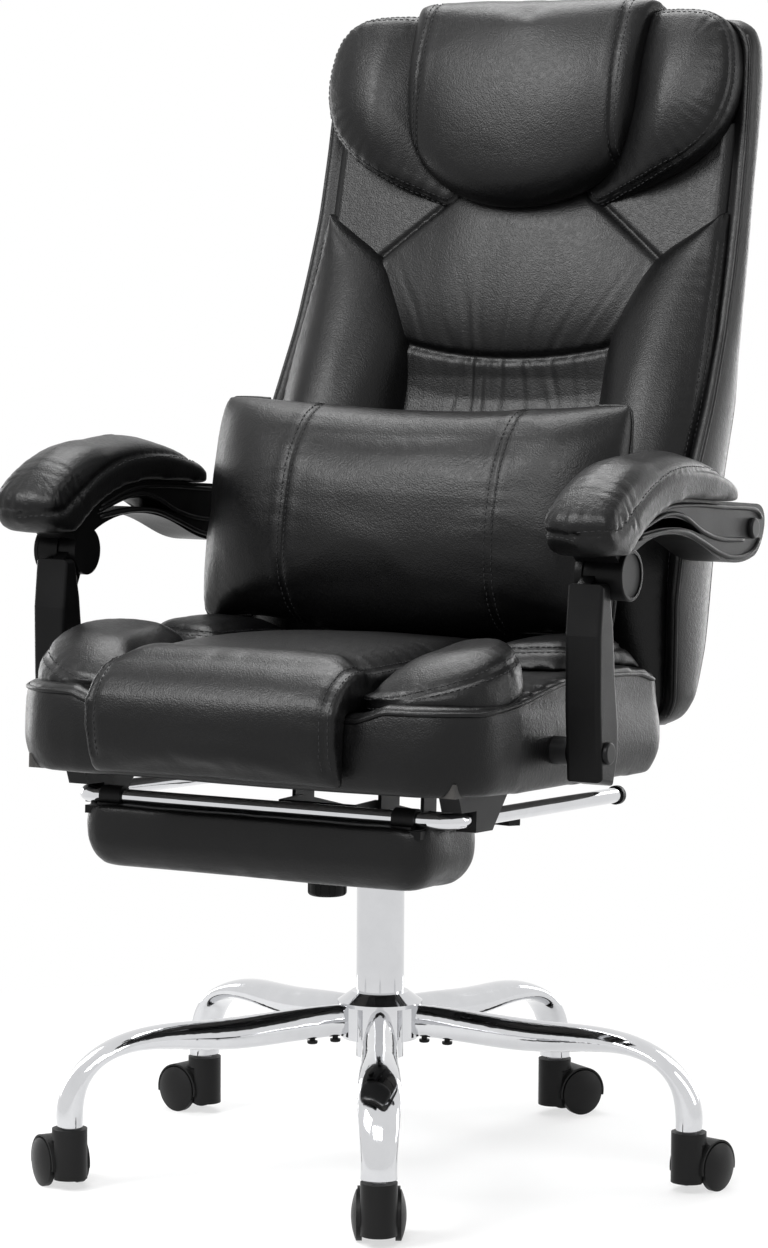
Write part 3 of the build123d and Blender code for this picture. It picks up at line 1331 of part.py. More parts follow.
def arm_pivot_pin():
    y, z = ARM_PIVOT
    pin = rod_x(ARM_PIN_RADIUS, ARM_INNER, ARM_OUTER, y, z)
    cap = rod_x(ARM_CAP_RADIUS, ARM_OUTER, ARM_OUTER + ARM_CAP_HEIGHT, y, z)
    cap = fillet(cap.edges().group_by(Axis.X)[-1], ARM_CAP_DISH)
    face = ARM_OUTER + ARM_CAP_HEIGHT
    cap = cap - rod_x(ARM_CAP_RADIUS - ARM_CAP_RIM, face - ARM_CAP_DISH, face, y, z)
    return pin + cap


def arm_pad_profile(x, edge):
    """Side view of the arm pad, drawn in by the edge share at its two sides."""
    seat = [(y, z + ARM_PAD_GAP) for y, z in FRAME_TOP[:-1]]
    drop = ARM_PAD_EDGE_DROP * edge

    def drawn_in(point, inwards, down):
        return (point[0] + inwards * drop, point[1] - down * drop)

    nose = drawn_in(ARM_PAD_NOSE, 0.0, -0.2)
    tip = drawn_in(ARM_PAD_TIP, 0.65, 0.0)
    crest = drawn_in(ARM_PAD_CREST, 0.0, 1.0)
    rear = drawn_in(ARM_PAD_REAR, 0.0, 0.45)
    arcs = [
        (nose, drawn_in(ARM_PAD_CHIN, 0.6, 0.0), tip),
        (tip, drawn_in(ARM_PAD_BROW, 0.0, 0.9), crest),
        (crest, drawn_in(ARM_PAD_TOP, 0.0, 1.0), rear),
    ]
    edges = [Spline(*at_x(x, seat))]
    edges.append(Line((x, *seat[0]), (x, *nose)))
    edges += [ThreePointArc(*at_x(x, arc)) for arc in arcs]
    edges.append(Line((x, *rear), (x, *seat[-1])))
    return make_face(edges)


def arm_pad():
    width = ARM_PAD_OUTER - ARM_PAD_INNER
    stations = ((0.0, 1.0), (0.16, 0.35), (0.5, 0.0), (0.84, 0.35), (1.0, 1.0))
    sections = [arm_pad_profile(ARM_PAD_INNER + share * width, edge) for share, edge in stations]
    return loft(sections, ruled=True)


def write_parts():
    save("base_hub", hub())
    save("base_legs", *around_base(leg()))
    save("leg_bolts", *[s for radius in BOLT_RADII for s in around_base(leg_bolt(radius))])
    save("column_tube", column_tube())
    save("column_bush", column_bush())
    save("thrust_bearing", thrust_bearing())
    save("piston_rod", piston_rod())
    save("gas_cylinder", gas_cylinder())
    wheels = [caster_wheel(), mirror(caster_wheel(), about=Plane.XZ)]
    for k in range(LEG_COUNT):
        save(f"caster_{k + 1}_hood", on_stem(caster_hood(), k))
        save(f"caster_{k + 1}_pins", *[on_stem(pin, k) for pin in caster_pins()])
        save(f"caster_{k + 1}_wheels", *[on_stem(wheel, k) for wheel in wheels])

    save("tilt_housing", tilt_housing())
    save("tension_buffer", tension_buffer())
    save("tension_knob", tension_knob())
    save("height_lever", height_lever())
    save("recline_lever", recline_lever())
    save("seat_plate", raked(seat_plate()))
    save("tilt_pin", tilt_pin())
    save("seat_board", raked(seat_board()))
    save("seat_screws", *[raked(screw) for screw in seat_screws()])
    save("seat_base_cushion", raked(seat_box()))
    save("seat_center_cushion", raked(seat_centre()))
    save("seat_side_pads", *[raked(pad) for pad in seat_side_pads()])
    save("pivot_bolts", *[raked(bolt) for bolt in pivot_bolts()])
    save("back_hinge_brackets", *[raked(side) for side in both_sides(hinge_bracket())])

    save("footrest_brackets", *[raked(side) for side in both_sides(rail_bracket())])
    save("footrest_rails", raked(footrest_rails()))
    save("rail_end_caps", *[raked(side) for side in both_sides(rail_cap())])
    save("footrest_board", raked(footrest_board()))
    save("footrest_pad", raked(footrest_pad()))
    save("footrest_clips", *[raked(side) for side in both_sides(footrest_clip())])

    bolsters = both_sides(bolster())
    shoulders = both_sides(puffed(SHOULDER_PANEL, pad_layers(SHOULDER_HEIGHT)))
    save("back_shell", back_shell())
    save("back_board", back_board())
    save("back_panel_pads", lower_panel(), upper_panel(), *shoulders)
    save("back_bolsters", *bolsters)
    roll = headrest_roll()
    save("head_wings", *both_sides(head_wing(roll)))
    save("headrest_roll", roll)
    save("back_hinge_leaves", *both_sides(hinge_leaf()))
    save("arm_rear_bolts", *both_sides(rear_arm_bolt()))
    save("lumbar_pillow", lumbar_pillow(bolsters))

    for side, place in (("left", lambda shape: shape), ("right", mirrored)):
        save(f"arm_post_{side}", place(arm_post()))
        save(f"arm_frame_{side}", place(arm_frame()))
        save(f"arm_pad_{side}", place(arm_pad()))
        save(f"arm_pivot_pin_{side}", place(arm_pivot_pin()))


os.makedirs("parts", exist_ok=True)
write_parts()
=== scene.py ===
import json
import math

import bmesh
import bpy
import numpy as np
from mathutils import Matrix, Vector, noise
from mathutils.bvhtree import BVHTree
from mathutils.kdtree import KDTree


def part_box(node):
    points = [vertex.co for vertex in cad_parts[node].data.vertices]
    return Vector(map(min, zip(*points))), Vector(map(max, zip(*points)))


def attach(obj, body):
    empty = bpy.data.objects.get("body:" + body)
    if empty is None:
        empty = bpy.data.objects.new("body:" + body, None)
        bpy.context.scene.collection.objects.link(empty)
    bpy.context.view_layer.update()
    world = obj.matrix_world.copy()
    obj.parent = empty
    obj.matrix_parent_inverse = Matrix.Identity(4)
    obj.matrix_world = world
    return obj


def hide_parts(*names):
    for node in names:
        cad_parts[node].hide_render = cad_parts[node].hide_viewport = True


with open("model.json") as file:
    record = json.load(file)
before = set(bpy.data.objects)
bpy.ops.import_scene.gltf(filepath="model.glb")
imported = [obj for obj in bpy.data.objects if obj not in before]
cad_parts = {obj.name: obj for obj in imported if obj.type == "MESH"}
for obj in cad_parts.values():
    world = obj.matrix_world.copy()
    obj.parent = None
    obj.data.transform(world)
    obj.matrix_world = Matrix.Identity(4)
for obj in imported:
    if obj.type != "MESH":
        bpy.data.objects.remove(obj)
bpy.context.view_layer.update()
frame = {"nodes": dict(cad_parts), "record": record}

NODES = frame["nodes"]

# Camera of the photograph
CAMERA_PLACE = (1.894, -3.562, 0.939)
CAMERA_HEADING = (-0.469, 0.883)
CAMERA_PITCH = math.radians(-5.16)
CAMERA_ROLL = math.radians(0.338)
FOCAL_SHARE = 3893.0 / 1248.0
SENSOR = 36.0

# Cushions and their simulation
VOXEL = 0.006
ARM_VOXEL = 0.005
SMOOTH_FACTOR = 0.5
SIM_FRAMES = 16
SIM_PRESSURE = 4.0
SETTLE_ROUNDS = 3
DRAW_IN = 0.12  # share of inward and sideways movement that a simulated cover keeps

# Sewing
GUIDE_PITCH = 0.003
SEAM_PUFF = 0.0006
STITCH_LENGTH = 0.0042
STITCH_PITCH = 0.0064
STITCH_RADIUS = 0.00055
STITCH_LIFT = 0.0002
PIPING_RADIUS = 0.0024
REAR_PIPING_RADIUS = 0.002
PILLOW_PIPING_RADIUS = 0.0018
TUBE_PITCH = 0.006

# Finishes
LEATHER_SPECULAR = 0.22
PLASTIC_SPECULAR = 0.12
CHROME_DARK = (0.58, 0.585, 0.6)
CHROME_LIGHT = (0.68, 0.685, 0.7)
WOOD_DARK = (0.012, 0.011, 0.010)
WOOD_LIGHT = (0.028, 0.026, 0.024)
FLOOR_DARK = (0.93, 0.93, 0.93)
FLOOR_LIGHT = (0.96, 0.96, 0.96)


# Node materials

def new_material(name):
    material = bpy.data.materials.new(name)
    material.use_nodes = True
    tree = material.node_tree
    shader = tree.nodes["Principled BSDF"]
    return material, tree, shader


def node(tree, kind, **values):
    made = tree.nodes.new(kind)
    for key, value in values.items():
        if key in made.inputs:
            made.inputs[key].default_value = value
        else:
            setattr(made, key, value)
    return made


def ramp(tree, source, low, high, start=0.0, end=1.0):
    """Maps a grey value to a span of numbers or colours."""
    made = tree.nodes.new("ShaderNodeMapRange")
    made.inputs["From Min"].default_value = start
    made.inputs["From Max"].default_value = end
    made.inputs["To Min"].default_value = low
    made.inputs["To Max"].default_value = high
    tree.links.new(source, made.inputs["Value"])
    return made.outputs["Result"]


def colour_between(tree, factor, dark, light):
    made = tree.nodes.new("ShaderNodeMix")
    made.data_type = "RGBA"
    made.inputs[6].default_value = (*dark, 1)
    made.inputs[7].default_value = (*light, 1)
    tree.links.new(factor, made.inputs[0])
    return made.outputs[2]


def bump_chain(tree, shader, layers):
    """Bump from several heights, each (socket, strength, distance)."""
    last = None
    for height, strength, distance in layers:
        bump = node(tree, "ShaderNodeBump", Strength=strength, Distance=distance)
        tree.links.new(height, bump.inputs["Height"])
        if last is not None:
            tree.links.new(last.outputs["Normal"], bump.inputs["Normal"])
        last = bump
    tree.links.new(last.outputs["Normal"], shader.inputs["Normal"])


def leather_material(name, dark, light, rough_low, rough_high):
    material, tree, shader = new_material(name)
    place = node(tree, "ShaderNodeTexCoord").outputs["Object"]
    pebbles = node(tree, "ShaderNodeTexVoronoi", Scale=620.0, feature="SMOOTH_F1", Smoothness=0.5)
    creases = node(tree, "ShaderNodeTexNoise", Scale=210.0, Detail=5.0, Roughness=0.62)
    patches = node(tree, "ShaderNodeTexNoise", Scale=9.0, Detail=3.0, Roughness=0.55)
    for texture in (pebbles, creases, patches):
        tree.links.new(place, texture.inputs["Vector"])
    colour = colour_between(tree, patches.outputs["Fac"], dark, light)
    tree.links.new(colour, shader.inputs["Base Color"])
    rough = ramp(tree, creases.outputs["Fac"], rough_low, rough_high, 0.3, 0.7)
    tree.links.new(rough, shader.inputs["Roughness"])
    shader.inputs["Specular IOR Level"].default_value = LEATHER_SPECULAR
    bump_chain(
        tree,
        shader,
        [
            (creases.outputs["Fac"], 0.22, 0.0012),
            (pebbles.outputs["Distance"], 0.32, 0.0006),
        ],
    )
    return material


def chrome_material(name):
    material, tree, shader = new_material(name)
    place = node(tree, "ShaderNodeTexCoord").outputs["Object"]
    film = node(tree, "ShaderNodeTexNoise", Scale=34.0, Detail=4.0, Roughness=0.6)
    tree.links.new(place, film.inputs["Vector"])
    colour = colour_between(tree, film.outputs["Fac"], CHROME_DARK, CHROME_LIGHT)
    tree.links.new(colour, shader.inputs["Base Color"])
    tree.links.new(ramp(tree, film.outputs["Fac"], 0.035, 0.11, 0.3, 0.75), shader.inputs["Roughness"])
    shader.inputs["Metallic"].default_value = 1.0
    bump_chain(tree, shader, [(film.outputs["Fac"], 0.02, 0.001)])
    return material


def plastic_material(name, dark, light, rough_low, rough_high, scale=900.0, strength=0.25, metallic=0.0):
    material, tree, shader = new_material(name)
    place = node(tree, "ShaderNodeTexCoord").outputs["Object"]
    spark = node(tree, "ShaderNodeTexNoise", Scale=scale, Detail=3.0, Roughness=0.6)
    cloud = node(tree, "ShaderNodeTexNoise", Scale=14.0, Detail=3.0, Roughness=0.5)
    for texture in (spark, cloud):
        tree.links.new(place, texture.inputs["Vector"])
    tree.links.new(colour_between(tree, cloud.outputs["Fac"], dark, light), shader.inputs["Base Color"])
    rough = ramp(tree, cloud.outputs["Fac"], rough_low, rough_high, 0.3, 0.7)
    tree.links.new(rough, shader.inputs["Roughness"])
    shader.inputs["Metallic"].default_value = metallic
    shader.inputs["Specular IOR Level"].default_value = PLASTIC_SPECULAR
    bump_chain(tree, shader, [(spark.outputs["Fac"], strength, 0.0005)])
    return material


def wood_material(name):
    material, tree, shader = new_material(name)
    place = node(tree, "ShaderNodeTexCoord").outputs["Object"]
    grain = node(tree, "ShaderNodeTexWave", Scale=28.0, Distortion=6.0, Detail=3.0)
    tree.links.new(place, grain.inputs["Vector"])
    colour = colour_between(tree, grain.outputs["Fac"], WOOD_DARK, WOOD_LIGHT)
    tree.links.new(colour, shader.inputs["Base Color"])
    tree.links.new(ramp(tree, grain.outputs["Fac"], 0.6, 0.75), shader.inputs["Roughness"])
    bump_chain(tree, shader, [(grain.outputs["Fac"], 0.15, 0.001)])
    return material


LEATHER = leather_material("black_leather", (0.0014, 0.0014, 0.0015), (0.0028, 0.0028, 0.0030), 0.31, 0.43)
THREAD = plastic_material(
    "black_thread", (0.013, 0.013, 0.0135), (0.028, 0.028, 0.029), 0.4, 0.6, scale=2600.0, strength=0.5
)
CHROME = chrome_material("polished_chrome")
PLASTIC = plastic_material("moulded_plastic", (0.002, 0.002, 0.0021), (0.0042, 0.0042, 0.0044), 0.3, 0.42)
NYLON = plastic_material(
    "caster_nylon", (0.006, 0.006, 0.006), (0.012, 0.012, 0.0122), 0.36, 0.5, scale=1100.0, strength=0.3
)
PAINT = plastic_material(
    "black_paint", (0.008, 0.008, 0.0083), (0.015, 0.015, 0.0155), 0.34, 0.5, scale=700.0, strength=0.15,
    metallic=0.3,
)
STEEL = plastic_material(
    "bright_steel", (0.5, 0.5, 0.52), (0.66, 0.66, 0.68), 0.22, 0.38, scale=500.0, strength=0.08,
    metallic=1.0,
)
RUBBER = plastic_material(
    "black_rubber", (0.008, 0.008, 0.008), (0.016, 0.016, 0.016), 0.7, 0.85, scale=600.0, strength=0.3
)
WOOD = wood_material("black_stained_plywood")
SLOT_MATERIALS = {
    "black_leather": LEATHER,
    "chrome": CHROME,
    "black_plastic": PLASTIC,
    "black_steel": PAINT,
    "bright_steel": STEEL,
    "black_rubber": RUBBER,
    "plywood": WOOD,
}

for part in frame["record"]["subparts"]:
    finish = SLOT_MATERIALS[part["material_slot"]]
    if part["node"].startswith("caster") and part["material_slot"] == "black_plastic":
        finish = NYLON
    if part["node"] == "leg_bolts":
        finish = PAINT
    slots = NODES[part["node"]].data.materials
    slots.clear()
    slots.append(finish)


# Mesh helpers

def add_object(name, verts, faces, material):
    mesh = bpy.data.meshes.new(name)
    mesh.from_pydata([tuple(v) for v in verts], [], faces)
    mesh.materials.append(material)
    mesh.update()
    mesh.shade_smooth()
    made = bpy.data.objects.new(name, mesh)
    bpy.context.scene.collection.objects.link(made)
    return made


def coords(obj):
    flat = np.empty(len(obj.data.vertices) * 3, np.float32)
    obj.data.vertices.foreach_get("co", flat)
    return flat.reshape(-1, 3).astype(float)


def normals(obj):
    flat = np.empty(len(obj.data.vertices) * 3, np.float32)
    obj.data.vertices.foreach_get("normal", flat)
    return flat.reshape(-1, 3).astype(float)


def set_coords(obj, points):
    obj.data.vertices.foreach_set("co", np.ascontiguousarray(points, np.float32).ravel())
    obj.data.update()


def baked(obj):
    """Replaces an object's mesh by what its modifiers make of it."""
    graph = bpy.context.evaluated_depsgraph_get()
    made = bpy.data.meshes.new_from_object(obj.evaluated_get(graph))
    obj.modifiers.clear()
    obj.data = made
    made.shade_smooth()
    return obj


def loose_pieces(name):
    """Separate solids of a CAD node, each as (points, faces)."""
    bm = bmesh.new()
    bm.from_mesh(NODES[name].data)
    bmesh.ops.remove_doubles(bm, verts=bm.verts, dist=1e-5)
    bm.verts.ensure_lookup_table()
    seen = set()
    pieces = []
    for start in bm.verts:
        if start.index in seen:
            continue
        group = {start}
        stack = [start]
        while stack:
            for edge in stack.pop().link_edges:
                for other in edge.verts:
                    if other not in group:
                        group.add(other)
                        stack.append(other)
        seen.update(v.index for v in group)
        order = {v: k for k, v in enumerate(group)}
        faces = {f for v in group for f in v.link_faces}
        pieces.append(
            (np.array([v.co for v in group]), [[order[v] for v in f.verts] for f in faces])
        )
    bm.free()
    return pieces


def solid_near(name, place):
    """The solid of a node whose middle lies nearest to a place."""
    middle = lambda piece: (piece[0].min(0) + piece[0].max(0)) / 2
    return min(loose_pieces(name), key=lambda piece: np.linalg.norm(middle(piece) - np.array(place)))


def smoothed(obj, rounds):
    made = obj.modifiers.new("smooth", "SMOOTH")
    made.iterations = rounds
    made.factor = SMOOTH_FACTOR
    return baked(obj)


def remeshed(name, solid, voxel, rounds):
    """Even mesh over a CAD solid, with its edges rounded off."""
    obj = add_object(name, solid[0], solid[1], LEATHER)
    made = obj.modifiers.new("remesh", "REMESH")
    made.mode = "VOXEL"
    made.voxel_size = voxel
    baked(obj)
    return smoothed(obj, rounds)


def inflated(obj, shrink, cap):
    """Swells a padded piece by cloth simulation, with its movement held to the cap."""
    start = coords(obj)
    out = normals(obj)
    set_coords(obj, start - out * shrink)
    cloth = obj.modifiers.new("cloth", "CLOTH")
    cloth.settings.quality = 4
    cloth.settings.mass = 0.35
    cloth.settings.tension_stiffness = 12
    cloth.settings.compression_stiffness = 12
    cloth.settings.bending_stiffness = 0.6
    cloth.settings.use_pressure = True
    cloth.settings.uniform_pressure_force = SIM_PRESSURE
    cloth.settings.effector_weights.gravity = 0
    cloth.collision_settings.use_collision = False
    cloth.point_cache.frame_end = SIM_FRAMES
    scene = bpy.context.scene
    for step in range(1, SIM_FRAMES + 1):
        scene.frame_set(step)
        bpy.context.view_layer.update()
    baked(obj)
    scene.frame_set(1)
    moved = coords(obj) - start
    rise = np.sum(moved * out, axis=1)
    aside = moved - out * rise[:, None]
    rise = np.where(rise < 0, DRAW_IN * rise, cap * np.tanh(rise / cap))
    set_coords(obj, start + out * rise[:, None] + DRAW_IN * aside)
    return smoothed(obj, SETTLE_ROUNDS)


def resampled(points, pitch):
    """Points at even steps along a smooth line through guide points."""
    points = [Vector(p) for p in points]
    fine = []
    for k in range(len(points) - 1):
        before = points[max(k - 1, 0)]
        after = points[min(k + 2, len(points) - 1)]
        a, b = points[k], points[k + 1]
        for step in range(16):
            t = step / 16
            fine.append(
                0.5
                * (
                    2 * a
                    + (b - before) * t
                    + (2 * before - 5 * a + 4 * b - after) * t * t
                    + (3 * a - before - 3 * b + after) * t**3
                )
            )
    fine.append(points[-1])
    fine = np.array(fine)
    along = np.concatenate([[0], np.cumsum(np.linalg.norm(np.diff(fine, axis=0), axis=1))])
    count = max(int(along[-1] / pitch), 2)
    spots = np.linspace(0, along[-1], count + 1)
    return np.stack([np.interp(spots, along, fine[:, axis]) for axis in range(3)], 1)


def surface_of(*objs):
    """Search tree over the surfaces of some objects."""
    verts = []
    faces = []
    for obj in objs:
        base = len(verts)
        verts += [v.co.copy() for v in obj.data.vertices]
        faces += [[base + v for v in p.vertices] for p in obj.data.polygons]
    return BVHTree.FromPolygons(verts, faces)


def on_surface(tree, points, lift=0.0):
    """Points dropped on a surface, with its normals there."""
    spots = []
    sides = []
    for point in points:
        place, normal = tree.find_nearest(Vector(point))[:2]
        spots.append(place + normal * lift)
        sides.append(normal)
    return np.array(spots), np.array(sides)


def nearest_along(line):
    """Search tree on a line's points."""
    tree = KDTree(len(line))
    for k, point in enumerate(line):
        tree.insert(Vector(point), k)
    tree.balance()
    return tree


def line_distance(points, line):
    """Distance to a sewn line and the place along it, for many points."""
    tree = nearest_along(line)
    found = [tree.find(Vector(p)) for p in points]
    return np.array([f[2] for f in found]), np.array([f[1] for f in found]) * GUIDE_PITCH


def wave_noise(points, scale, seed):
    """Smooth noise of about -1 to 1 at each point."""
    shift = Vector((seed, seed * 1.7, seed * 0.6))
    return np.array([noise.noise(Vector(p) * scale + shift) for p in points])


def seam_groove(obj, guide, depth, width):
    """Draws the surface in along a sewn line, with a slight swell beside it."""
    points = coords(obj)
    out = normals(obj)
    line = on_surface(surface_of(obj), resampled(guide, GUIDE_PITCH))[0]
    distance = line_distance(points, line)[0]
    move = -depth * np.exp(-((distance / width) ** 2))
    move = move + SEAM_PUFF * np.exp(-(((distance - 3 * width) / (2 * width)) ** 2))
    set_coords(obj, points + out * move[:, None])
    return obj


def gathers(obj, guide, height, reach, fold_pitch, seed, where=None):
    """Small folds that run out from a sewn line and die away."""
    points = coords(obj)
    out = normals(obj)
    line = on_surface(surface_of(obj), resampled(guide, GUIDE_PITCH))[0]
    distance, along = line_distance(points, line)
    stray = wave_noise(points, 14.0, seed) * 1.1 + wave_noise(points, 34.0, seed + 5) * 0.4
    folds = np.sin(2 * math.pi * along / fold_pitch + 3.0 * stray)
    strength = 0.55 + 0.45 * wave_noise(np.stack([along, along * 0, along * 0], 1), 23.0, seed + 9)
    move = height * folds * strength * np.exp(-distance / reach) * (1 - np.exp(-distance / 0.004))
    if where is not None:
        move = move * where(points)
    set_coords(obj, points + out * move[:, None])
    return obj


def wrinkles(obj, height, stretch, seed):
    """Long soft creases; stretch gives how quickly they change along each axis."""
    points = coords(obj)
    out = normals(obj)
    scaled = points * np.array(stretch)
    ridge = 1 - np.abs(wave_noise(scaled, 1.0, seed)) * 2
    ridge = ridge + 0.5 * wave_noise(scaled * 2.3, 1.0, seed + 3)
    set_coords(obj, points + out * (height * ridge)[:, None])
    return obj


def mirrored_copy(obj, name):
    """The same piece on the sitter's right."""
    points = coords(obj) * np.array([-1, 1, 1])
    faces = [list(p.vertices)[::-1] for p in obj.data.polygons]
    return add_object(name, points, faces, obj.data.materials[0])


def stitches(name, tree, guides, offsets):
    """Rows of thread beside sewn lines, as one mesh of small capsules."""
    verts = []
    faces = []
    ring = 5
    profile = ((-0.5, 0.35), (-0.3, 1.0), (0.3, 1.0), (0.5, 0.35))
    for guide in guides:
        line, sides = on_surface(tree, resampled(guide, STITCH_PITCH))
        for offset in offsets:
            run = np.gradient(line, axis=0)
            run = run / np.maximum(np.linalg.norm(run, axis=1), 1e-9)[:, None]
            across = np.cross(run, sides)
            spots, ups = on_surface(tree, line + across * offset, STITCH_LIFT)
            for k in range(len(spots)):
                ahead = Vector(run[k])
                up = Vector(ups[k])
                left = up.cross(ahead).normalized()
                up = ahead.cross(left).normalized()
                base = len(verts)
                for share, size in profile:
                    middle = Vector(spots[k]) + ahead * (share * STITCH_LENGTH)
                    radius = STITCH_RADIUS * size
                    for corner in range(ring):
                        turn = 2 * math.pi * corner / ring
                        aside = up * (math.cos(turn) * radius) + left * (math.sin(turn) * radius)
                        verts.append(middle + aside)
                for row in range(len(profile) - 1):
                    for corner in range(ring):
                        a = base + row * ring + corner
                        b = base + row * ring + (corner + 1) % ring
                        faces.append([a, b, b + ring, a + ring])
                faces.append([base + corner for corner in reversed(range(ring))])
                last = base + (len(profile) - 1) * ring
                faces.append([last + corner for corner in range(ring)])
    return add_object(name, verts, faces, THREAD)


def tube(name, lines, radius, material, tree=None, lift=0.0):
    """Round cords along guide lines, such as piping on a seam."""
    verts = []
    faces = []
    ring = 8
    for guide in lines:
        line = resampled(guide, TUBE_PITCH)
        if tree is not None:
            line = on_surface(tree, line, lift)[0]
        run = np.gradient(line, axis=0)
        run = run / np.maximum(np.linalg.norm(run, axis=1), 1e-9)[:, None]
        up = Vector((0.31, 0.22, 0.92))
        base = len(verts)
        for k in range(len(line)):
            ahead = Vector(run[k])
            left = up.cross(ahead).normalized()
            up = ahead.cross(left).normalized()
            for corner in range(ring):
                turn = 2 * math.pi * corner / ring
                verts.append(Vector(line[k]) + (up * math.cos(turn) + left * math.sin(turn)) * radius)
        for row in range(len(line) - 1):
            for corner in range(ring):
                a = base + row * ring + corner
                b = base + row * ring + (corner + 1) % ring
                faces.append([a, b, b + ring, a + ring])
        faces.append([base + corner for corner in reversed(range(ring))])
        last = base + (len(line) - 1) * ring
        faces.append([last + corner for corner in range(ring)])
    return add_object(name, verts, faces, material)


def subdivided(obj):
    made = obj.modifiers.new("fine", "SUBSURF")
    made.levels = 1
    made.render_levels = 1
    return baked(obj)


def upholstery(obj, body, nodes):
    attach(obj, body)
    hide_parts(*nodes)
    return obj


def trim(obj, body):
    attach(obj, body)
    return obj


# Shapes that the covers follow, in metres, as (height, value) lines

RIM_LINE = (
    (0.462, 0.172), (0.474, 0.161), (0.510, 0.152), (0.540, 0.149), (0.600, 0.150), (0.660, 0.164),
    (0.740, 0.204), (0.814, 0.245), (0.880, 0.280), (0.940, 0.304), (1.000, 0.325), (1.074, 0.343),
    (1.140, 0.355), (1.215, 0.365),
)
FRONT_LINE = ((0.462, 0.186), (0.560, 0.214), (0.650, 0.230), (0.800, 0.284), (1.215, 0.389))
REAR_LINE = (
    (0.462, 0.223), (0.560, 0.254), (0.650, 0.270), (0.800, 0.323), (1.150, 0.410), (1.205, 0.404),
    (1.215, 0.401),
)
WIDTH_LINE = (
    (0.462, 0.241), (0.474, 0.258), (0.495, 0.268), (0.540, 0.271), (0.800, 0.271), (0.900, 0.266),
    (1.000, 0.262), (1.100, 0.260), (1.185, 0.257), (1.205, 0.249), (1.215, 0.237),
)
BOLSTER_INNER = (
    (0.468, 0.154), (0.540, 0.136), (0.650, 0.126), (0.800, 0.121), (0.880, 0.126), (0.950, 0.160),
    (0.985, 0.205), (1.006, 0.240),
)
BOLSTER_CREST = (
    (0.468, 0.162), (0.540, 0.138), (0.650, 0.134), (0.800, 0.202), (0.880, 0.246), (0.950, 0.286),
    (0.985, 0.304), (1.006, 0.320),
)
RIM_WIDTH = 0.016
SEAT_RAKE = math.radians(2.65)
TILT_PLACE = Vector((0, -0.078, 0.388))
UPPER_LEAN = math.atan2(0.105, 0.415)
UPPER_FOOT = Vector((0, 0.284, 0.800))
UPPER_OUT = Vector((0, -math.cos(UPPER_LEAN), math.sin(UPPER_LEAN)))
UPPER_UP = Vector((0, math.sin(UPPER_LEAN), math.cos(UPPER_LEAN)))


def at(line, height):
    return np.interp(height, [row[0] for row in line], [row[1] for row in line])


def smooth_line(line):
    """The same (height, value) line with its corners rounded off."""
    fine = resampled([(row[0], row[1], 0) for row in line], 0.004)
    return [(row[0], row[1]) for row in fine]


def smooth_loop(points, count):
    """Even points on a closed smooth outline through guide points."""
    fine = resampled([(*p, 0) for p in list(points) * 3], 0.002)
    third = len(fine) // 3
    picks = third + np.linspace(0, third, count, endpoint=False).astype(int)
    return fine[picks][:, :2]


def seat_point(x, y, z):
    """A point of the seat's level frame, leaned back by the rake."""
    turn = Matrix.Rotation(-SEAT_RAKE, 3, "X")
    return turn @ (Vector((x, y, z)) - TILT_PLACE) + TILT_PLACE


def upper_point(x, z, rise):
    """A point on the upper back by its height and its rise off the shell."""
    along = (z - UPPER_FOOT.z) / math.cos(UPPER_LEAN)
    return Vector((x, 0, 0)) + UPPER_FOOT + UPPER_UP * along + UPPER_OUT * rise


def cast(tree, origin, direction):
    """Where a ray from a point first meets a surface, or None."""
    return tree.ray_cast(Vector(origin), Vector(direction).normalized())[0]


def ring_line(tree, centre, u, v, start, end, count):
    """Line round a piece, found by rays from its inside, between two angles from u towards v."""
    points = []
    for k in range(count + 1):
        turn = math.radians(start + (end - start) * k / count)
        place = cast(tree, centre, Vector(u) * math.cos(turn) + Vector(v) * math.sin(turn))
        if place is not None:
            points.append(place)
    return points


def lofted(name, rows):
    """Closed skin through closed rows of points, with both ends filled."""
    count = len(rows[0])
    verts = [point for row in rows for point in row]
    faces = []
    for r in range(len(rows) - 1):
        for c in range(count):
            d = (c + 1) % count
            faces.append([r * count + c, r * count + d, (r + 1) * count + d, (r + 1) * count + c])
    faces.append([c for c in reversed(range(count))])
    faces.append([(len(rows) - 1) * count + c for c in range(count)])
    return add_object(name, verts, faces, LEATHER)


# Back

BACK_LOW = 0.462
BACK_HIGH = 1.215
GUIDE_HEIGHTS = np.linspace(0.472, 1.198, 42)
PANEL_HALF_WIDTH = 0.2425
PANEL_LOW = 0.552
PANEL_HIGH = 1.104
PANEL_STEP = 0.0025
PANEL_THICKNESS = 0.004
SHOULDER_SEAM_TOP = (0.066, 1.037)
SHOULDER_SEAM_FOOT = (0.178, 0.949)
SHOULDER_RISE = 0.013


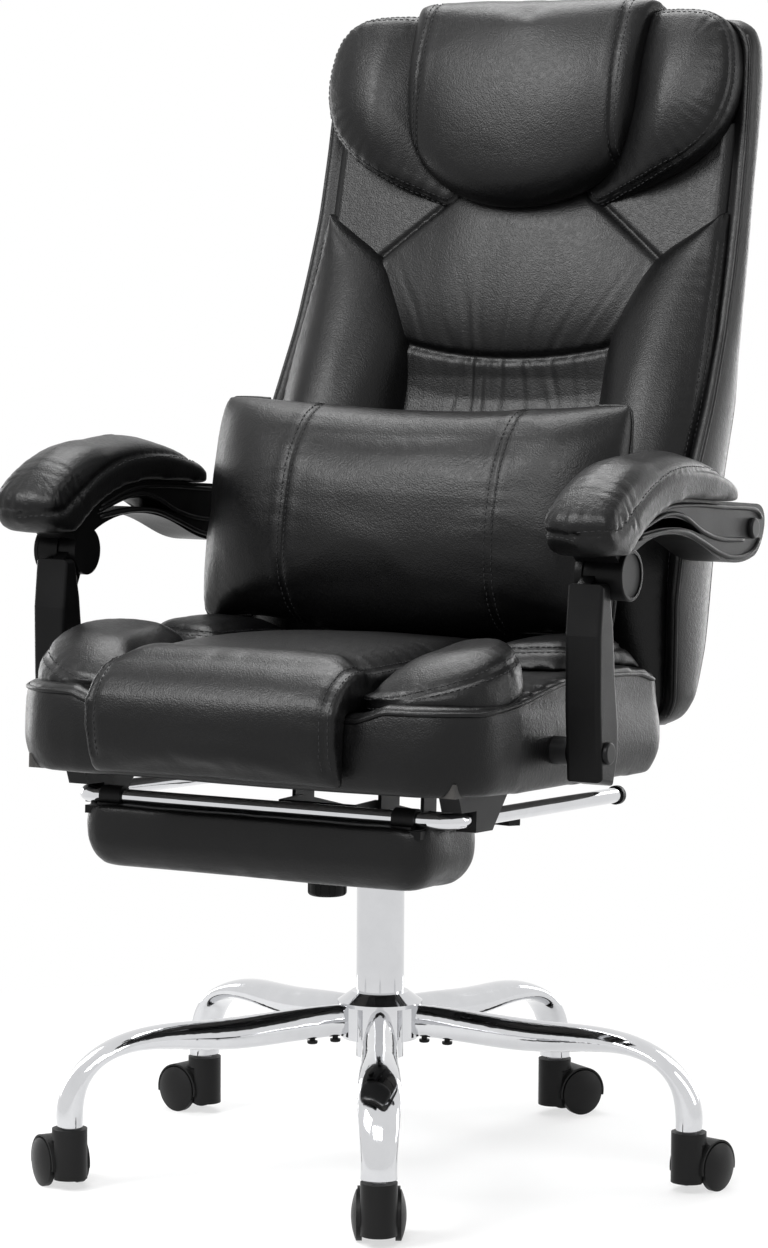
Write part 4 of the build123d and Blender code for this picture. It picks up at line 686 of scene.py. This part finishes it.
def shell_row(z):
    """Closed section of the back's shell at a height, with its raised rim."""
    edge = 1 - min(min(z - BACK_LOW, BACK_HIGH - z) / 0.014, 1.0)
    inset = 0.012 * (1 - math.sqrt(max(1 - edge * edge, 0)))
    w = at(WIDTH_LINE, z) - inset
    rim = at(RIM_LINE, z) + inset
    rear = at(REAR_LINE, z) - inset
    front = max(at(FRONT_LINE, z) + 0.003, rim + 0.004)
    front = min(front, rear - 0.006)
    half = [
        (0.0, rear),
        (0.45 * w, rear),
        (w - 0.055, rear - 0.001),
        (w - 0.028, rear - 0.003),
        (w - 0.011, rear - 0.010),
        (w - 0.003, rear - 0.022),
        (w + 0.0005, 0.6 * rear + 0.4 * rim),
        (w + 0.0005, 0.35 * rear + 0.65 * rim),
        (w - 0.001, rim + 0.010),
        (w - 0.0035, rim + 0.003),
        (w - 0.008, rim + 0.0005),
        (w - 0.013, rim + 0.001),
        (w - RIM_WIDTH - 0.004, rim + 0.006),
        (w - RIM_WIDTH - 0.012, 0.5 * (rim + front)),
        (w - RIM_WIDTH - 0.024, front),
        (0.4 * w, front),
        (0.0, front),
    ]
    left = [(-x, y) for x, y in half[1:-1]]
    return [(x, y, z) for x, y in half + left[::-1]]


def back_heights():
    ends = [BACK_LOW, 0.4635, 0.467, 0.472, 0.479, 0.487]
    return ends + list(np.linspace(0.495, 1.196, 60)) + [1.204, 1.210, 1.2135, BACK_HIGH]


shell = lofted("back_shell_cover", [shell_row(z) for z in back_heights()])
subdivided(shell)
wrinkles(shell, 0.0009, (7, 7, 3), 4.0)
upholstery(shell, "back", ["back_shell"])
SHELL_TREE = surface_of(shell)


def rim_guide(side):
    return [(side * (at(WIDTH_LINE, z) - 0.002), at(RIM_LINE, z), z) for z in GUIDE_HEIGHTS]


def rear_guide(side):
    return [(side * (at(WIDTH_LINE, z) - 0.005), at(REAR_LINE, z) - 0.013, z) for z in GUIDE_HEIGHTS]


rim_guides = [rim_guide(side) for side in (1, -1)]
rear_guides = [rear_guide(side) for side in (1, -1)]
trim(tube("back_piping", rim_guides, PIPING_RADIUS, LEATHER, SHELL_TREE, 0.0008), "back")
trim(tube("back_rear_piping", rear_guides, REAR_PIPING_RADIUS, LEATHER, SHELL_TREE, 0.0004), "back")


def cross_seam(x):
    """Height of the seam across the panel."""
    return 0.845 + 0.014 * (x / 0.125) ** 2


def segment_distance(x, z, start, end):
    """Distance of points to a straight line between two places."""
    run = np.array(end) - np.array(start)
    share = ((x - start[0]) * run[0] + (z - start[1]) * run[1]) / (run @ run)
    share = np.clip(share, 0, 1)
    return np.hypot(x - start[0] - share * run[0], z - start[1] - share * run[1])


def back_panel():
    """Sewn front of the back between the bolsters, up to the shoulders."""
    xs = np.arange(-PANEL_HALF_WIDTH, PANEL_HALF_WIDTH + 0.00001, PANEL_STEP)
    zs = np.arange(PANEL_LOW, PANEL_HIGH + 0.0001, PANEL_STEP)
    x, z = np.meshgrid(xs, zs)
    seam_top = SHOULDER_SEAM_TOP
    seam_foot = SHOULDER_SEAM_FOOT
    y_seam = segment_distance(np.abs(x), z, seam_top, seam_foot)
    over = z - cross_seam(x)
    cross = np.where(np.abs(x) < 0.16, np.abs(over), 1.0)
    run = (seam_foot[0] - seam_top[0], seam_foot[1] - seam_top[1])
    shoulder = (np.abs(x) - seam_top[0]) * -run[1] + (z - seam_top[1]) * run[0] > 0
    swell = np.where(over > 0, 1 - np.exp(-cross / 0.026), 0.12 - np.minimum(cross / 0.1, 0.45))
    height = np.where(shoulder, SHOULDER_RISE, 0.002 + 0.011 * swell)
    height = height + np.where(shoulder, 0.0, 0.006) * (1 - np.exp(-y_seam / 0.03))
    groove = 0.004 * np.exp(-((cross / 0.0045) ** 2))
    height = height - 0.0042 * np.exp(-((y_seam / 0.0032) ** 2)) - np.where(shoulder, 0.0, groove)
    height = height * np.sqrt(np.clip((PANEL_HALF_WIDTH - np.abs(x)) / 0.012, 0.02, 1))
    points = np.stack([x.ravel(), z.ravel() * 0, z.ravel()], 1)

    def noise_map(scale, seed):
        return wave_noise(points * np.array(scale), 1.0, seed).reshape(x.shape)

    stray = noise_map((14, 0, 9), 2.0) + 0.5 * noise_map((41, 0, 17), 8.0)
    fan = x + np.where(over > 0, -0.55 * over * (x + 0.02) / 0.125, 0.1 * over)
    folds = np.sin(2 * math.pi * fan / 0.021 + 5.0 * stray)
    folds = folds + 0.6 * np.sin(2 * math.pi * fan / 0.0125 + 4.0 * stray + 1.3)
    power = np.clip(0.35 + 1.1 * noise_map((22, 0, 3), 5.0), 0, 1.3)
    reach = np.where(over > 0, 0.034, 0.05)
    gather = 0.0013 * folds * power * np.exp(-cross / reach) * (1 - np.exp(-cross / 0.004))
    height = height + np.where(shoulder, 0.0, gather)
    long_fold = noise_map((19, 0, 5), 11.0) + 0.6 * noise_map((9, 0, 9), 19.0)
    height = height + np.where(shoulder, 0.0006, 0.0016) * long_fold
    crown = np.clip(1 - (x / 0.17) ** 2, 0, 1) * np.clip(1 - ((z - 0.945) / 0.12) ** 2, 0, 1)
    height = height + np.where(shoulder, 0.0, 0.009) * crown
    y = at(FRONT_LINE, z) - height
    rows, columns = x.shape
    verts = np.stack([x.ravel(), y.ravel(), z.ravel()], 1)
    faces = []
    for r in range(rows - 1):
        for c in range(columns - 1):
            a = r * columns + c
            faces.append([a, a + 1, a + columns + 1, a + columns])
    panel = add_object("back_front_panel", verts, faces, LEATHER)
    made = panel.modifiers.new("depth", "SOLIDIFY")
    made.thickness = PANEL_THICKNESS
    made.offset = -1
    return baked(panel)


panel = back_panel()
upholstery(panel, "back", ["back_panel_pads"])


def bolster_row(z, inner_line, crest_line):
    """Section of the side bolster: steep at its inner edge, sewn along its outer edge."""
    inner = at(inner_line, z)
    outer = at(WIDTH_LINE, z) - RIM_WIDTH - 0.003
    foot = at(FRONT_LINE, z) - 0.001
    rise = foot - at(crest_line, z)
    peak = 0.58
    row = []
    for s in np.linspace(0, 1, 25):
        if s < peak:
            swell = (1 - (1 - s / peak) ** 2) ** 0.62
        else:
            swell = 1 - 0.42 * ((s - peak) / (1 - peak)) ** 2.4
        row.append((inner + (outer - inner) * s, foot - rise * swell, z))
    row.append((outer + 0.0035, foot - 0.42 * rise, z))
    row.append((outer + 0.0035, foot - 0.2 * rise, z))
    row.append((outer, foot + 0.004, z))
    row.append((0.5 * (inner + outer), foot + 0.004, z))
    row.append((inner, foot + 0.004, z))
    return row


def bolster_rows():
    inner_line = smooth_line(BOLSTER_INNER)
    crest_line = smooth_line(BOLSTER_CREST)
    return [bolster_row(z, inner_line, crest_line) for z in np.linspace(0.470, 1.0055, 96)]


bolster = lofted("back_bolster_left", bolster_rows())
subdivided(bolster)
wrinkles(bolster, 0.0011, (9, 9, 5), 1.0)
BOLSTER_EDGE = 24
bolster_line = [row[BOLSTER_EDGE] for row in bolster_rows()[4:-6]]
seam_groove(bolster, bolster_line, 0.0016, 0.003)
gathers(bolster, bolster_line, 0.0008, 0.014, 0.019, 8.0)
other = mirrored_copy(bolster, "back_bolster_right")
upholstery(bolster, "back", ["back_bolsters"])
upholstery(other, "back", ["back_bolsters"])


def flipped(line):
    return [(-p[0], p[1], p[2]) for p in line]


pair = surface_of(bolster, other)
trim(stitches("bolster_stitches", pair, [bolster_line, flipped(bolster_line)], (0.0045, -0.004)), "back")

# Head wings and roll

WING_OUTLINE = (
    (0.085, 1.014), (0.128, 1.024), (0.166, 1.038), (0.205, 1.060), (0.232, 1.088), (0.244, 1.122),
    (0.244, 1.156), (0.236, 1.188), (0.216, 1.207), (0.180, 1.213), (0.110, 1.214), (0.082, 1.190),
    (0.078, 1.060),
)
WING_MIDDLE = (0.172, 1.122)
WING_EDGE_RISE = 0.043
WING_RISE = 0.067


def wing_ring(share, rise, spread=0.0):
    """Points round the wing, by share of the way from its middle to its outline."""
    ring = []
    for x, z in smooth_loop(WING_OUTLINE, 120):
        run = Vector((x - WING_MIDDLE[0], z - WING_MIDDLE[1]))
        run = run * share + run.normalized() * spread
        tuck = min(max((WING_MIDDLE[0] + run.x - 0.088) / 0.095, 0.0), 1.0)
        tuck = 0.4 + 0.6 * tuck * tuck * (3 - 2 * tuck)
        ring.append(upper_point(WING_MIDDLE[0] + run.x, WING_MIDDLE[1] + run.y, rise * tuck))
    return ring


def wing_rows():
    rows = [wing_ring(0.97, 0.001), wing_ring(1.0, 0.012, 0.002), wing_ring(1.0, 0.028, 0.003)]
    rows += [wing_ring(1.0, 0.038, 0.0015), wing_ring(1.0, WING_EDGE_RISE)]
    for share in (0.985, 0.96, 0.92, 0.86, 0.78, 0.68, 0.56, 0.42, 0.28, 0.14, 0.04):
        crown = (WING_RISE - WING_EDGE_RISE) * (1 - share**2.4) ** 0.8
        rows.append(wing_ring(share, WING_EDGE_RISE + crown))
    return rows


wing = lofted("head_wing_left", wing_rows())
subdivided(wing)
wing_line = wing_ring(0.992, WING_EDGE_RISE)
seam_groove(wing, wing_line, 0.0018, 0.0032)
gathers(wing, wing_line, 0.0012, 0.015, 0.017, 3.0)
wrinkles(wing, 0.0012, (9, 9, 9), 31.0)
other = mirrored_copy(wing, "head_wing_right")
upholstery(wing, "back", ["head_wings"])
upholstery(other, "back", ["head_wings"])
pair = surface_of(wing, other)
trim(stitches("wing_stitches", pair, [wing_line, flipped(wing_line)], (0.0045, -0.0045)), "back")

head_roll = remeshed("head_roll_cover", solid_near("headrest_roll", (0, 0.33, 1.12)), VOXEL, 6)
inflated(head_roll, 0.003, 0.012)
subdivided(head_roll)


def settled_roll(points):
    """Head roll drawn in a little at its front and top, and wider towards its top."""
    offset = points - np.array(UPPER_FOOT)
    rise = offset @ np.array(UPPER_OUT)
    along = offset @ np.array(UPPER_UP)
    share = np.clip((points[:, 2] - 1.0) / 0.235, 0, 1)
    lower = np.maximum(along - 0.33, 0) * 0.055
    gain = 0.10 * (np.abs(points[:, 0]) / 0.138) ** 4 - 0.1
    flare = 0.07 * np.clip(1 - rise / 0.07, 0, 1) * share
    points = points + np.outer(gain * rise, UPPER_OUT) - np.outer(lower, UPPER_UP)
    points[:, 0] = points[:, 0] * (0.955 + 0.055 * share + flare)
    return points


set_coords(head_roll, settled_roll(coords(head_roll)))
ROLL_TREE = surface_of(head_roll)
ROLL_SEAM = 0.119
roll_lines = []
for side in (1, -1):
    middle = upper_point(side * ROLL_SEAM, 1.12, 0.040)
    roll_lines.append(ring_line(ROLL_TREE, middle, UPPER_UP, UPPER_OUT, -20, 200, 60))
for line in roll_lines:
    seam_groove(head_roll, line, 0.0018, 0.0032)
wrinkles(head_roll, 0.0008, (6, 9, 9), 6.0)
upholstery(head_roll, "back", ["headrest_roll"])
trim(stitches("roll_stitches", surface_of(head_roll), roll_lines, (0.005, -0.005)), "back")

# Lumbar pillow

pillow = remeshed("lumbar_pillow_cover", solid_near("lumbar_pillow", (0, 0.05, 0.69)), VOXEL, 4)
PILLOW_SEAM = 0.122
PILLOW_SHIFT = (-0.003, -0.006, 0.0)
inflated(pillow, 0.003, 0.010)
subdivided(pillow)


def settled_pillow(points):
    """Pillow where it lies in the photograph, with its lower corners on the seat."""
    low = np.clip((0.66 - points[:, 2]) / 0.09, 0, 1)
    low = low * np.clip((np.abs(points[:, 0]) - 0.13) / 0.08, 0, 1)
    points[:, 2] -= 0.012 * low
    end = np.clip((np.abs(points[:, 0]) - 0.12) / 0.09, 0, 1)
    sag = np.clip(1 - (points[:, 0] / 0.2) ** 2, 0, 1) * np.clip((points[:, 2] - 0.71) / 0.07, 0, 1)
    points[:, 2] -= 0.011 * sag
    points[:, 0] -= 0.010 * end * (points[:, 0] < 0)
    return points + np.array(PILLOW_SHIFT)


set_coords(pillow, settled_pillow(coords(pillow)))
box_low, box_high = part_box("lumbar_pillow")
PILLOW_MIDDLE = (box_low + box_high) / 2 + Vector(PILLOW_SHIFT)
plain_tree = surface_of(pillow)
pillow_lines = []
for side in (1, -1):
    middle = Vector((PILLOW_MIDDLE.x + side * PILLOW_SEAM, PILLOW_MIDDLE.y, PILLOW_MIDDLE.z))
    pillow_lines.append(ring_line(plain_tree, middle, (0, -1, 0), (0, 0, 1), 0, 360, 90))
for line in pillow_lines:
    seam_groove(pillow, line, 0.0017, 0.0032)
    gathers(pillow, line, 0.0008, 0.016, 0.024, 13.0)
wrinkles(pillow, 0.0013, (8, 10, 12), 7.0)
upholstery(pillow, "lumbar_pillow", ["lumbar_pillow"])
PILLOW_TREE = surface_of(pillow)
trim(stitches("pillow_stitches", PILLOW_TREE, pillow_lines, (0.0045, -0.0045)), "lumbar_pillow")


def pillow_end(side):
    """Line down the sewn end of the pillow."""
    points = []
    inside = PILLOW_MIDDLE + Vector((side * 0.13, 0, 0))
    for turn in np.radians(np.linspace(-62, 62, 40)):
        out = (side * math.cos(turn), 0.21 * math.sin(turn), math.sin(turn))
        points.append(cast(PILLOW_TREE, inside, out))
    return [p for p in points if p is not None]


end_lines = [pillow_end(1), pillow_end(-1)]
end_piping = tube("pillow_end_piping", end_lines, PILLOW_PIPING_RADIUS, LEATHER, PILLOW_TREE, 0.0006)
trim(end_piping, "lumbar_pillow")

# Seat

seat_base = remeshed("seat_base_cover", solid_near("seat_base_cushion", (0, -0.1, 0.47)), VOXEL, 5)
subdivided(seat_base)


def eased_base(points):
    """Base cover with fuller top edges beside the front pads, and its front corners drawn in."""
    x = np.abs(points[:, 0])
    front = np.clip((-0.10 - points[:, 1]) / 0.12, 0, 1)
    top = np.clip((points[:, 2] - 0.475) / 0.03, 0, 1)
    points[:, 2] += 0.011 * front * top * np.clip((x - 0.145) / 0.03, 0, 1)
    corner = np.clip((x - 0.17) / 0.08, 0, 1) * np.clip((-0.22 - points[:, 1]) / 0.09, 0, 1)
    points[:, 0] -= np.sign(points[:, 0]) * 0.007 * corner
    points[:, 1] += 0.007 * corner
    return points


set_coords(seat_base, eased_base(coords(seat_base)))
wrinkles(seat_base, 0.0012, (6, 6, 14), 12.0)
upholstery(seat_base, "seat", ["seat_base_cushion"])
BASE_TREE = surface_of(seat_base)


def seat_ring(tree, x, y, z, start, end, count, slope=(0.0, 0.0)):
    """Line round a piece of the seat, level or on a slope in its leaned frame."""
    u = seat_point(1, 0, slope[0]) - seat_point(0, 0, 0)
    v = seat_point(0, 1, slope[1]) - seat_point(0, 0, 0)
    return ring_line(tree, seat_point(x, y, z), u, v, start, end, count)


SEAT_WALL = (
    (-0.285, 0.0), (-0.215, 0.009), (-0.130, 0.031), (-0.040, 0.038), (0.060, 0.036), (0.128, 0.022),
)


def base_edge():
    """Piped edge of the seat's base, which rises along its sides."""
    points = []
    for place in seat_ring(BASE_TREE, 0, -0.1, 0.498, 36, -216, 150):
        y = place.y - (place.z - TILT_PLACE.z) * math.sin(SEAT_RAKE)
        front = min(max((-0.10 - y) / 0.12, 0.0), 1.0)
        front = front * min(max((abs(place.x) - 0.145) / 0.03, 0.0), 1.0)
        points.append(place + Vector((0, 0, 0.004 + at(SEAT_WALL, y) + 0.011 * front)))
    return points


trim(tube("seat_piping", [base_edge()], PIPING_RADIUS, LEATHER, BASE_TREE, 0.0008), "seat")

seat_center = remeshed("seat_center_cover", solid_near("seat_center_cushion", (0, -0.1, 0.5)), VOXEL, 5)
inflated(seat_center, 0.003, 0.010)
subdivided(seat_center)
CENTER_TREE = surface_of(seat_center)
CENTER_SEAM = 0.129


def center_guide(side):
    points = []
    for y in np.linspace(0.10, -0.335, 40):
        points.append(cast(CENTER_TREE, seat_point(side * CENTER_SEAM, y, 0.7), (0, 0, -1)))
    for z in np.linspace(0.545, 0.450, 12):
        points.append(cast(CENTER_TREE, seat_point(side * CENTER_SEAM, -0.5, z), (0, 1, 0)))
    return [p for p in points if p is not None]


center_lines = [center_guide(side) for side in (1, -1)]
for line in center_lines:
    seam_groove(seat_center, line, 0.0018, 0.0034)
    gathers(seat_center, line, 0.0008, 0.018, 0.022, 33.0)
wrinkles(seat_center, 0.0009, (9, 5, 8), 15.0)
upholstery(seat_center, "seat", ["seat_center_cushion"])
trim(stitches("seat_stitches", surface_of(seat_center), center_lines, (0.0048, -0.0048)), "seat")

# Side pads, as (label, place of the solid, middle of its seam, slope of the seam, tip of the top)
SIDE_PADS = (
    ("front", (0.2, -0.21, 0.54), (0.196, -0.205, 0.550), (0.20, 0.22), (0.14, 0.12)),
    ("rear", (0.2, 0.01, 0.55), (0.2, 0.0, 0.562), (0.05, -0.02), (0.05, 0.0)),
)


def tipped_pad(points, middle, tip):
    """Side pad grown towards the seat's centre, with its top tipped inwards and forwards."""
    inner = np.clip((0.172 - points[:, 0]) / 0.03, 0, 1)
    points[:, 0] -= 0.007 * inner
    upper = np.clip((points[:, 2] - middle[2] + 0.016) / 0.02, 0, 1)
    points[:, 2] += upper * (tip[0] * (points[:, 0] - middle[0]) + tip[1] * (points[:, 1] - middle[1]))
    return points


pad_lines = []
side_pads = []
for label, place, middle, slope, tip in SIDE_PADS:
    pad = remeshed(f"seat_side_{label}_left", solid_near("seat_side_pads", place), VOXEL, 6)
    inflated(pad, 0.003, 0.008)
    subdivided(pad)
    set_coords(pad, tipped_pad(coords(pad), middle, tip))
    line = seat_ring(surface_of(pad), *middle, -180, 180, 90, slope)
    seam_groove(pad, line, 0.0016, 0.0035)
    gathers(pad, line, 0.0007, 0.014, 0.017, 5.0)
    wrinkles(pad, 0.0012, (11, 8, 9), 17.0)
    other = mirrored_copy(pad, f"seat_side_{label}_right")
    upholstery(pad, "seat", ["seat_side_pads"])
    upholstery(other, "seat", ["seat_side_pads"])
    pad_lines += [line, flipped(line)]
    side_pads += [pad, other]
trim(stitches("side_pad_stitches", surface_of(*side_pads), pad_lines, (0.0048, -0.0048)), "seat")

# Footrest

REST_WRAP = 0.0082
rest_pad = remeshed("footrest_cover", solid_near("footrest_pad", (0, -0.2, 0.37)), VOXEL, 4)
inflated(rest_pad, 0.001, 0.0025)
subdivided(rest_pad)


def wrapped_board(points):
    """Cover drawn up over the edge of the footrest's board."""
    top = points[:, 2].max()
    lift = np.clip((points[:, 2] - top + 0.03) / 0.022, 0, 1)
    points[:, 2] += REST_WRAP * lift
    return points


set_coords(rest_pad, wrapped_board(coords(rest_pad)))
wrinkles(rest_pad, 0.0006, (5, 8, 8), 21.0)
upholstery(rest_pad, "footrest_pad", ["footrest_pad"])

# Arms

arm = remeshed("arm_cover_left", solid_near("arm_pad_left", (0.315, 0, 0.72)), ARM_VOXEL, 6)
subdivided(arm)
ARM_TREE = surface_of(arm)
ARM_MIDDLE = 0.315
ARM_SEAM = (
    (0.112, 0.731), (0.048, 0.742), (-0.009, 0.745), (-0.060, 0.741), (-0.105, 0.728), (-0.145, 0.709),
    (-0.172, 0.694),
)


def arm_guide(side):
    """Sewn line along one side of the arm pad and round to the middle of its nose."""
    points = []
    for y, z in resampled([(0, *p) for p in ARM_SEAM], 0.01)[:, 1:]:
        points.append(cast(ARM_TREE, (ARM_MIDDLE, y, z), (side, 0, 0)))
    for turn in np.linspace(8, 90, 10):
        angle = math.radians(turn)
        direction = (side * math.cos(angle), -math.sin(angle), 0.0)
        points.append(cast(ARM_TREE, (ARM_MIDDLE, -0.172, 0.693 - 0.0004 * turn / 10), direction))
    return [p for p in points if p is not None]


def over_nose(points):
    """1 on the upper part of the arm pad's nose, where the gathers lie."""
    return np.clip((points[:, 2] - 0.692) / 0.006, 0, 1)


arm_lines = [arm_guide(1), arm_guide(-1)]
for line in arm_lines:
    seam_groove(arm, line, 0.0018, 0.003)
    nose = [p for p in line if p[1] < -0.135]
    gathers(arm, nose, 0.0019, 0.022, 0.0125, 2.0, over_nose)
wrinkles(arm, 0.0007, (14, 8, 12), 23.0)
other = mirrored_copy(arm, "arm_cover_right")
upholstery(arm, "arm_left", ["arm_pad_left"])
upholstery(other, "arm_right", ["arm_pad_right"])
trim(stitches("arm_stitches_left", surface_of(arm), arm_lines, (0.0042,)), "arm_left")
right_lines = [flipped(line) for line in arm_lines]
trim(stitches("arm_stitches_right", surface_of(other), right_lines, (-0.0042,)), "arm_right")

# Moulded ridges on the faces of the arm frames, as (Y, Z) lines

ARM_FACES = (0.287, 0.333)
RIDGE_RADIUS = 0.0026
ARM_RIDGES = (
    (
        (-0.092, 0.6925), (-0.030, 0.7080), (0.040, 0.7078), (0.118, 0.7016),
        (0.196, 0.6956), (0.216, 0.6860),
    ),
    (
        (-0.096, 0.6880), (-0.032, 0.7012), (0.014, 0.6978), (0.062, 0.6800),
        (0.112, 0.6690), (0.168, 0.6655),
    ),
    (
        (-0.094, 0.6815), (-0.031, 0.6850), (0.019, 0.6815), (0.064, 0.6690), (0.112, 0.6540),
        (0.155, 0.6480), (0.192, 0.6515), (0.212, 0.6630),
    ),
)
for side, body in ((1, "arm_left"), (-1, "arm_right")):
    lines = [[(side * x, y, z) for y, z in line] for x in ARM_FACES for line in ARM_RIDGES]
    ridges = tube(f"{body}_ridges", lines, RIDGE_RADIUS, PLASTIC)
    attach(ridges, body)


# Stage, light and camera

def area_light(name, place, target, size, power):
    data = bpy.data.lights.new(name, "AREA")
    data.shape = "RECTANGLE"
    data.size, data.size_y = size
    data.energy = power
    lamp = bpy.data.objects.new(name, data)
    lamp.location = place
    lamp.rotation_euler = (Vector(target) - Vector(place)).to_track_quat("-Z", "Y").to_euler()
    bpy.context.scene.collection.objects.link(lamp)


def stage_point(right, near, up):
    """Place by distance to the photograph's right, towards the camera, and up."""
    head = Vector((*CAMERA_HEADING, 0)).normalized()
    side = Vector((head.y, -head.x, 0))
    return side * right - head * near + Vector((0, 0, up))


def ring_disc(radii, count=64):
    """Flat disc of rings round the origin."""
    verts = [(0, 0, 0)]
    faces = []
    for r, radius in enumerate(radii):
        for k in range(count):
            turn = 2 * math.pi * k / count
            verts.append((radius * math.cos(turn), radius * math.sin(turn), 0))
        for k in range(count):
            a = 1 + r * count + k
            b = 1 + r * count + (k + 1) % count
            faces.append([0, a, b] if r == 0 else [a - count, a, b, b - count])
    return verts, faces


WORLD_LIGHT = 0.25
FLOOR_RADII = (0.25, 0.5, 1.0, 2.0, 5.0, 12.0, 40.0)
LIGHT_TARGET = (0, 0, 0.75)
# Lamps, as (name, place as in stage_point, size, power in watts)
LIGHTS = (
    ("key", (-2.1, 1.4, 2.95), (1.4, 1.6), 125),
    ("front", (-0.3, 2.5, 2.5), (1.6, 1.0), 60),
    ("fill", (2.8, -0.2, 1.2), (0.7, 1.7), 17),
    ("top", (0.0, -0.9, 2.9), (1.6, 1.8), 70),
    ("rear right", (1.9, -2.3, 0.9), (0.7, 1.7), 22),
    ("rear left", (-1.9, -2.3, 0.9), (0.7, 1.7), 18),
)


def sees_background(tree):
    """1 for rays that see the white background: from the camera, mirrored, or through something clear."""
    path = node(tree, "ShaderNodeLightPath")
    level = path.outputs["Is Camera Ray"]
    for kind in ("Is Glossy Ray", "Is Transmission Ray"):
        most = node(tree, "ShaderNodeMath", operation="MAXIMUM")
        tree.links.new(level, most.inputs[0])
        tree.links.new(path.outputs[kind], most.inputs[1])
        level = most.outputs["Value"]
    return level


def floor_material():
    """Pale floor round the chair, which turns into the white backdrop further out."""
    material, tree, shader = new_material("pale_floor")
    place = node(tree, "ShaderNodeTexCoord").outputs["Object"]
    cloud = node(tree, "ShaderNodeTexNoise", Scale=1.5, Detail=2.0)
    tree.links.new(place, cloud.inputs["Vector"])
    pale = colour_between(tree, cloud.outputs["Fac"], FLOOR_DARK, FLOOR_LIGHT)
    tree.links.new(pale, shader.inputs["Base Color"])
    shader.inputs["Roughness"].default_value = 0.7
    reach = node(tree, "ShaderNodeVectorMath", operation="LENGTH")
    tree.links.new(place, reach.inputs[0])
    fade = ramp(tree, reach.outputs["Value"], 0.62, 1.0, 0.3, 1.1)
    cover = node(tree, "ShaderNodeMath", operation="MULTIPLY")
    tree.links.new(fade, cover.inputs[0])
    tree.links.new(sees_background(tree), cover.inputs[1])
    white = node(tree, "ShaderNodeEmission", Color=(1, 1, 1, 1), Strength=1.0)
    mix = node(tree, "ShaderNodeMixShader")
    tree.links.new(cover.outputs["Value"], mix.inputs["Fac"])
    tree.links.new(shader.outputs["BSDF"], mix.inputs[1])
    tree.links.new(white.outputs["Emission"], mix.inputs[2])
    tree.links.new(mix.outputs["Shader"], tree.nodes["Material Output"].inputs["Surface"])
    return material


def make_world():
    """White backdrop to rays that see it, and an even, plain light for the rest."""
    world = bpy.context.scene.world or bpy.data.worlds.new("world")
    bpy.context.scene.world = world
    world.use_nodes = True
    tree = world.node_tree
    tree.nodes.clear()
    white = node(tree, "ShaderNodeBackground", Color=(1, 1, 1, 1), Strength=1.0)
    plain = node(tree, "ShaderNodeBackground", Color=(1, 1, 1, 1), Strength=WORLD_LIGHT)
    mix = node(tree, "ShaderNodeMixShader")
    out = node(tree, "ShaderNodeOutputWorld")
    tree.links.new(sees_background(tree), mix.inputs["Fac"])
    tree.links.new(plain.outputs["Background"], mix.inputs[1])
    tree.links.new(white.outputs["Background"], mix.inputs[2])
    tree.links.new(mix.outputs["Shader"], out.inputs["Surface"])


def make_stage():
    floor = add_object("floor", *ring_disc(FLOOR_RADII), floor_material())
    make_world()
    for name, place, size, power in LIGHTS:
        area_light(name, stage_point(*place), LIGHT_TARGET, size, power)


def make_camera():
    data = bpy.data.cameras.new("camera")
    data.sensor_fit = "VERTICAL"
    data.sensor_height = SENSOR
    data.lens = FOCAL_SHARE * SENSOR
    camera = bpy.data.objects.new("camera", data)
    head = Vector((*CAMERA_HEADING, 0)).normalized()
    ahead = head * math.cos(CAMERA_PITCH) + Vector((0, 0, math.sin(CAMERA_PITCH)))
    level = ahead.cross(Vector((0, 0, 1))).normalized()
    up = level.cross(ahead)
    right = level * math.cos(CAMERA_ROLL) + up * math.sin(CAMERA_ROLL)
    up = right.cross(ahead)
    turn = Matrix((right, up, -ahead)).transposed().to_4x4()
    camera.matrix_world = Matrix.Translation(CAMERA_PLACE) @ turn
    bpy.context.scene.collection.objects.link(camera)
    bpy.context.scene.camera = camera


make_stage()
make_camera()
bpy.context.scene.view_settings.view_transform = "Standard"
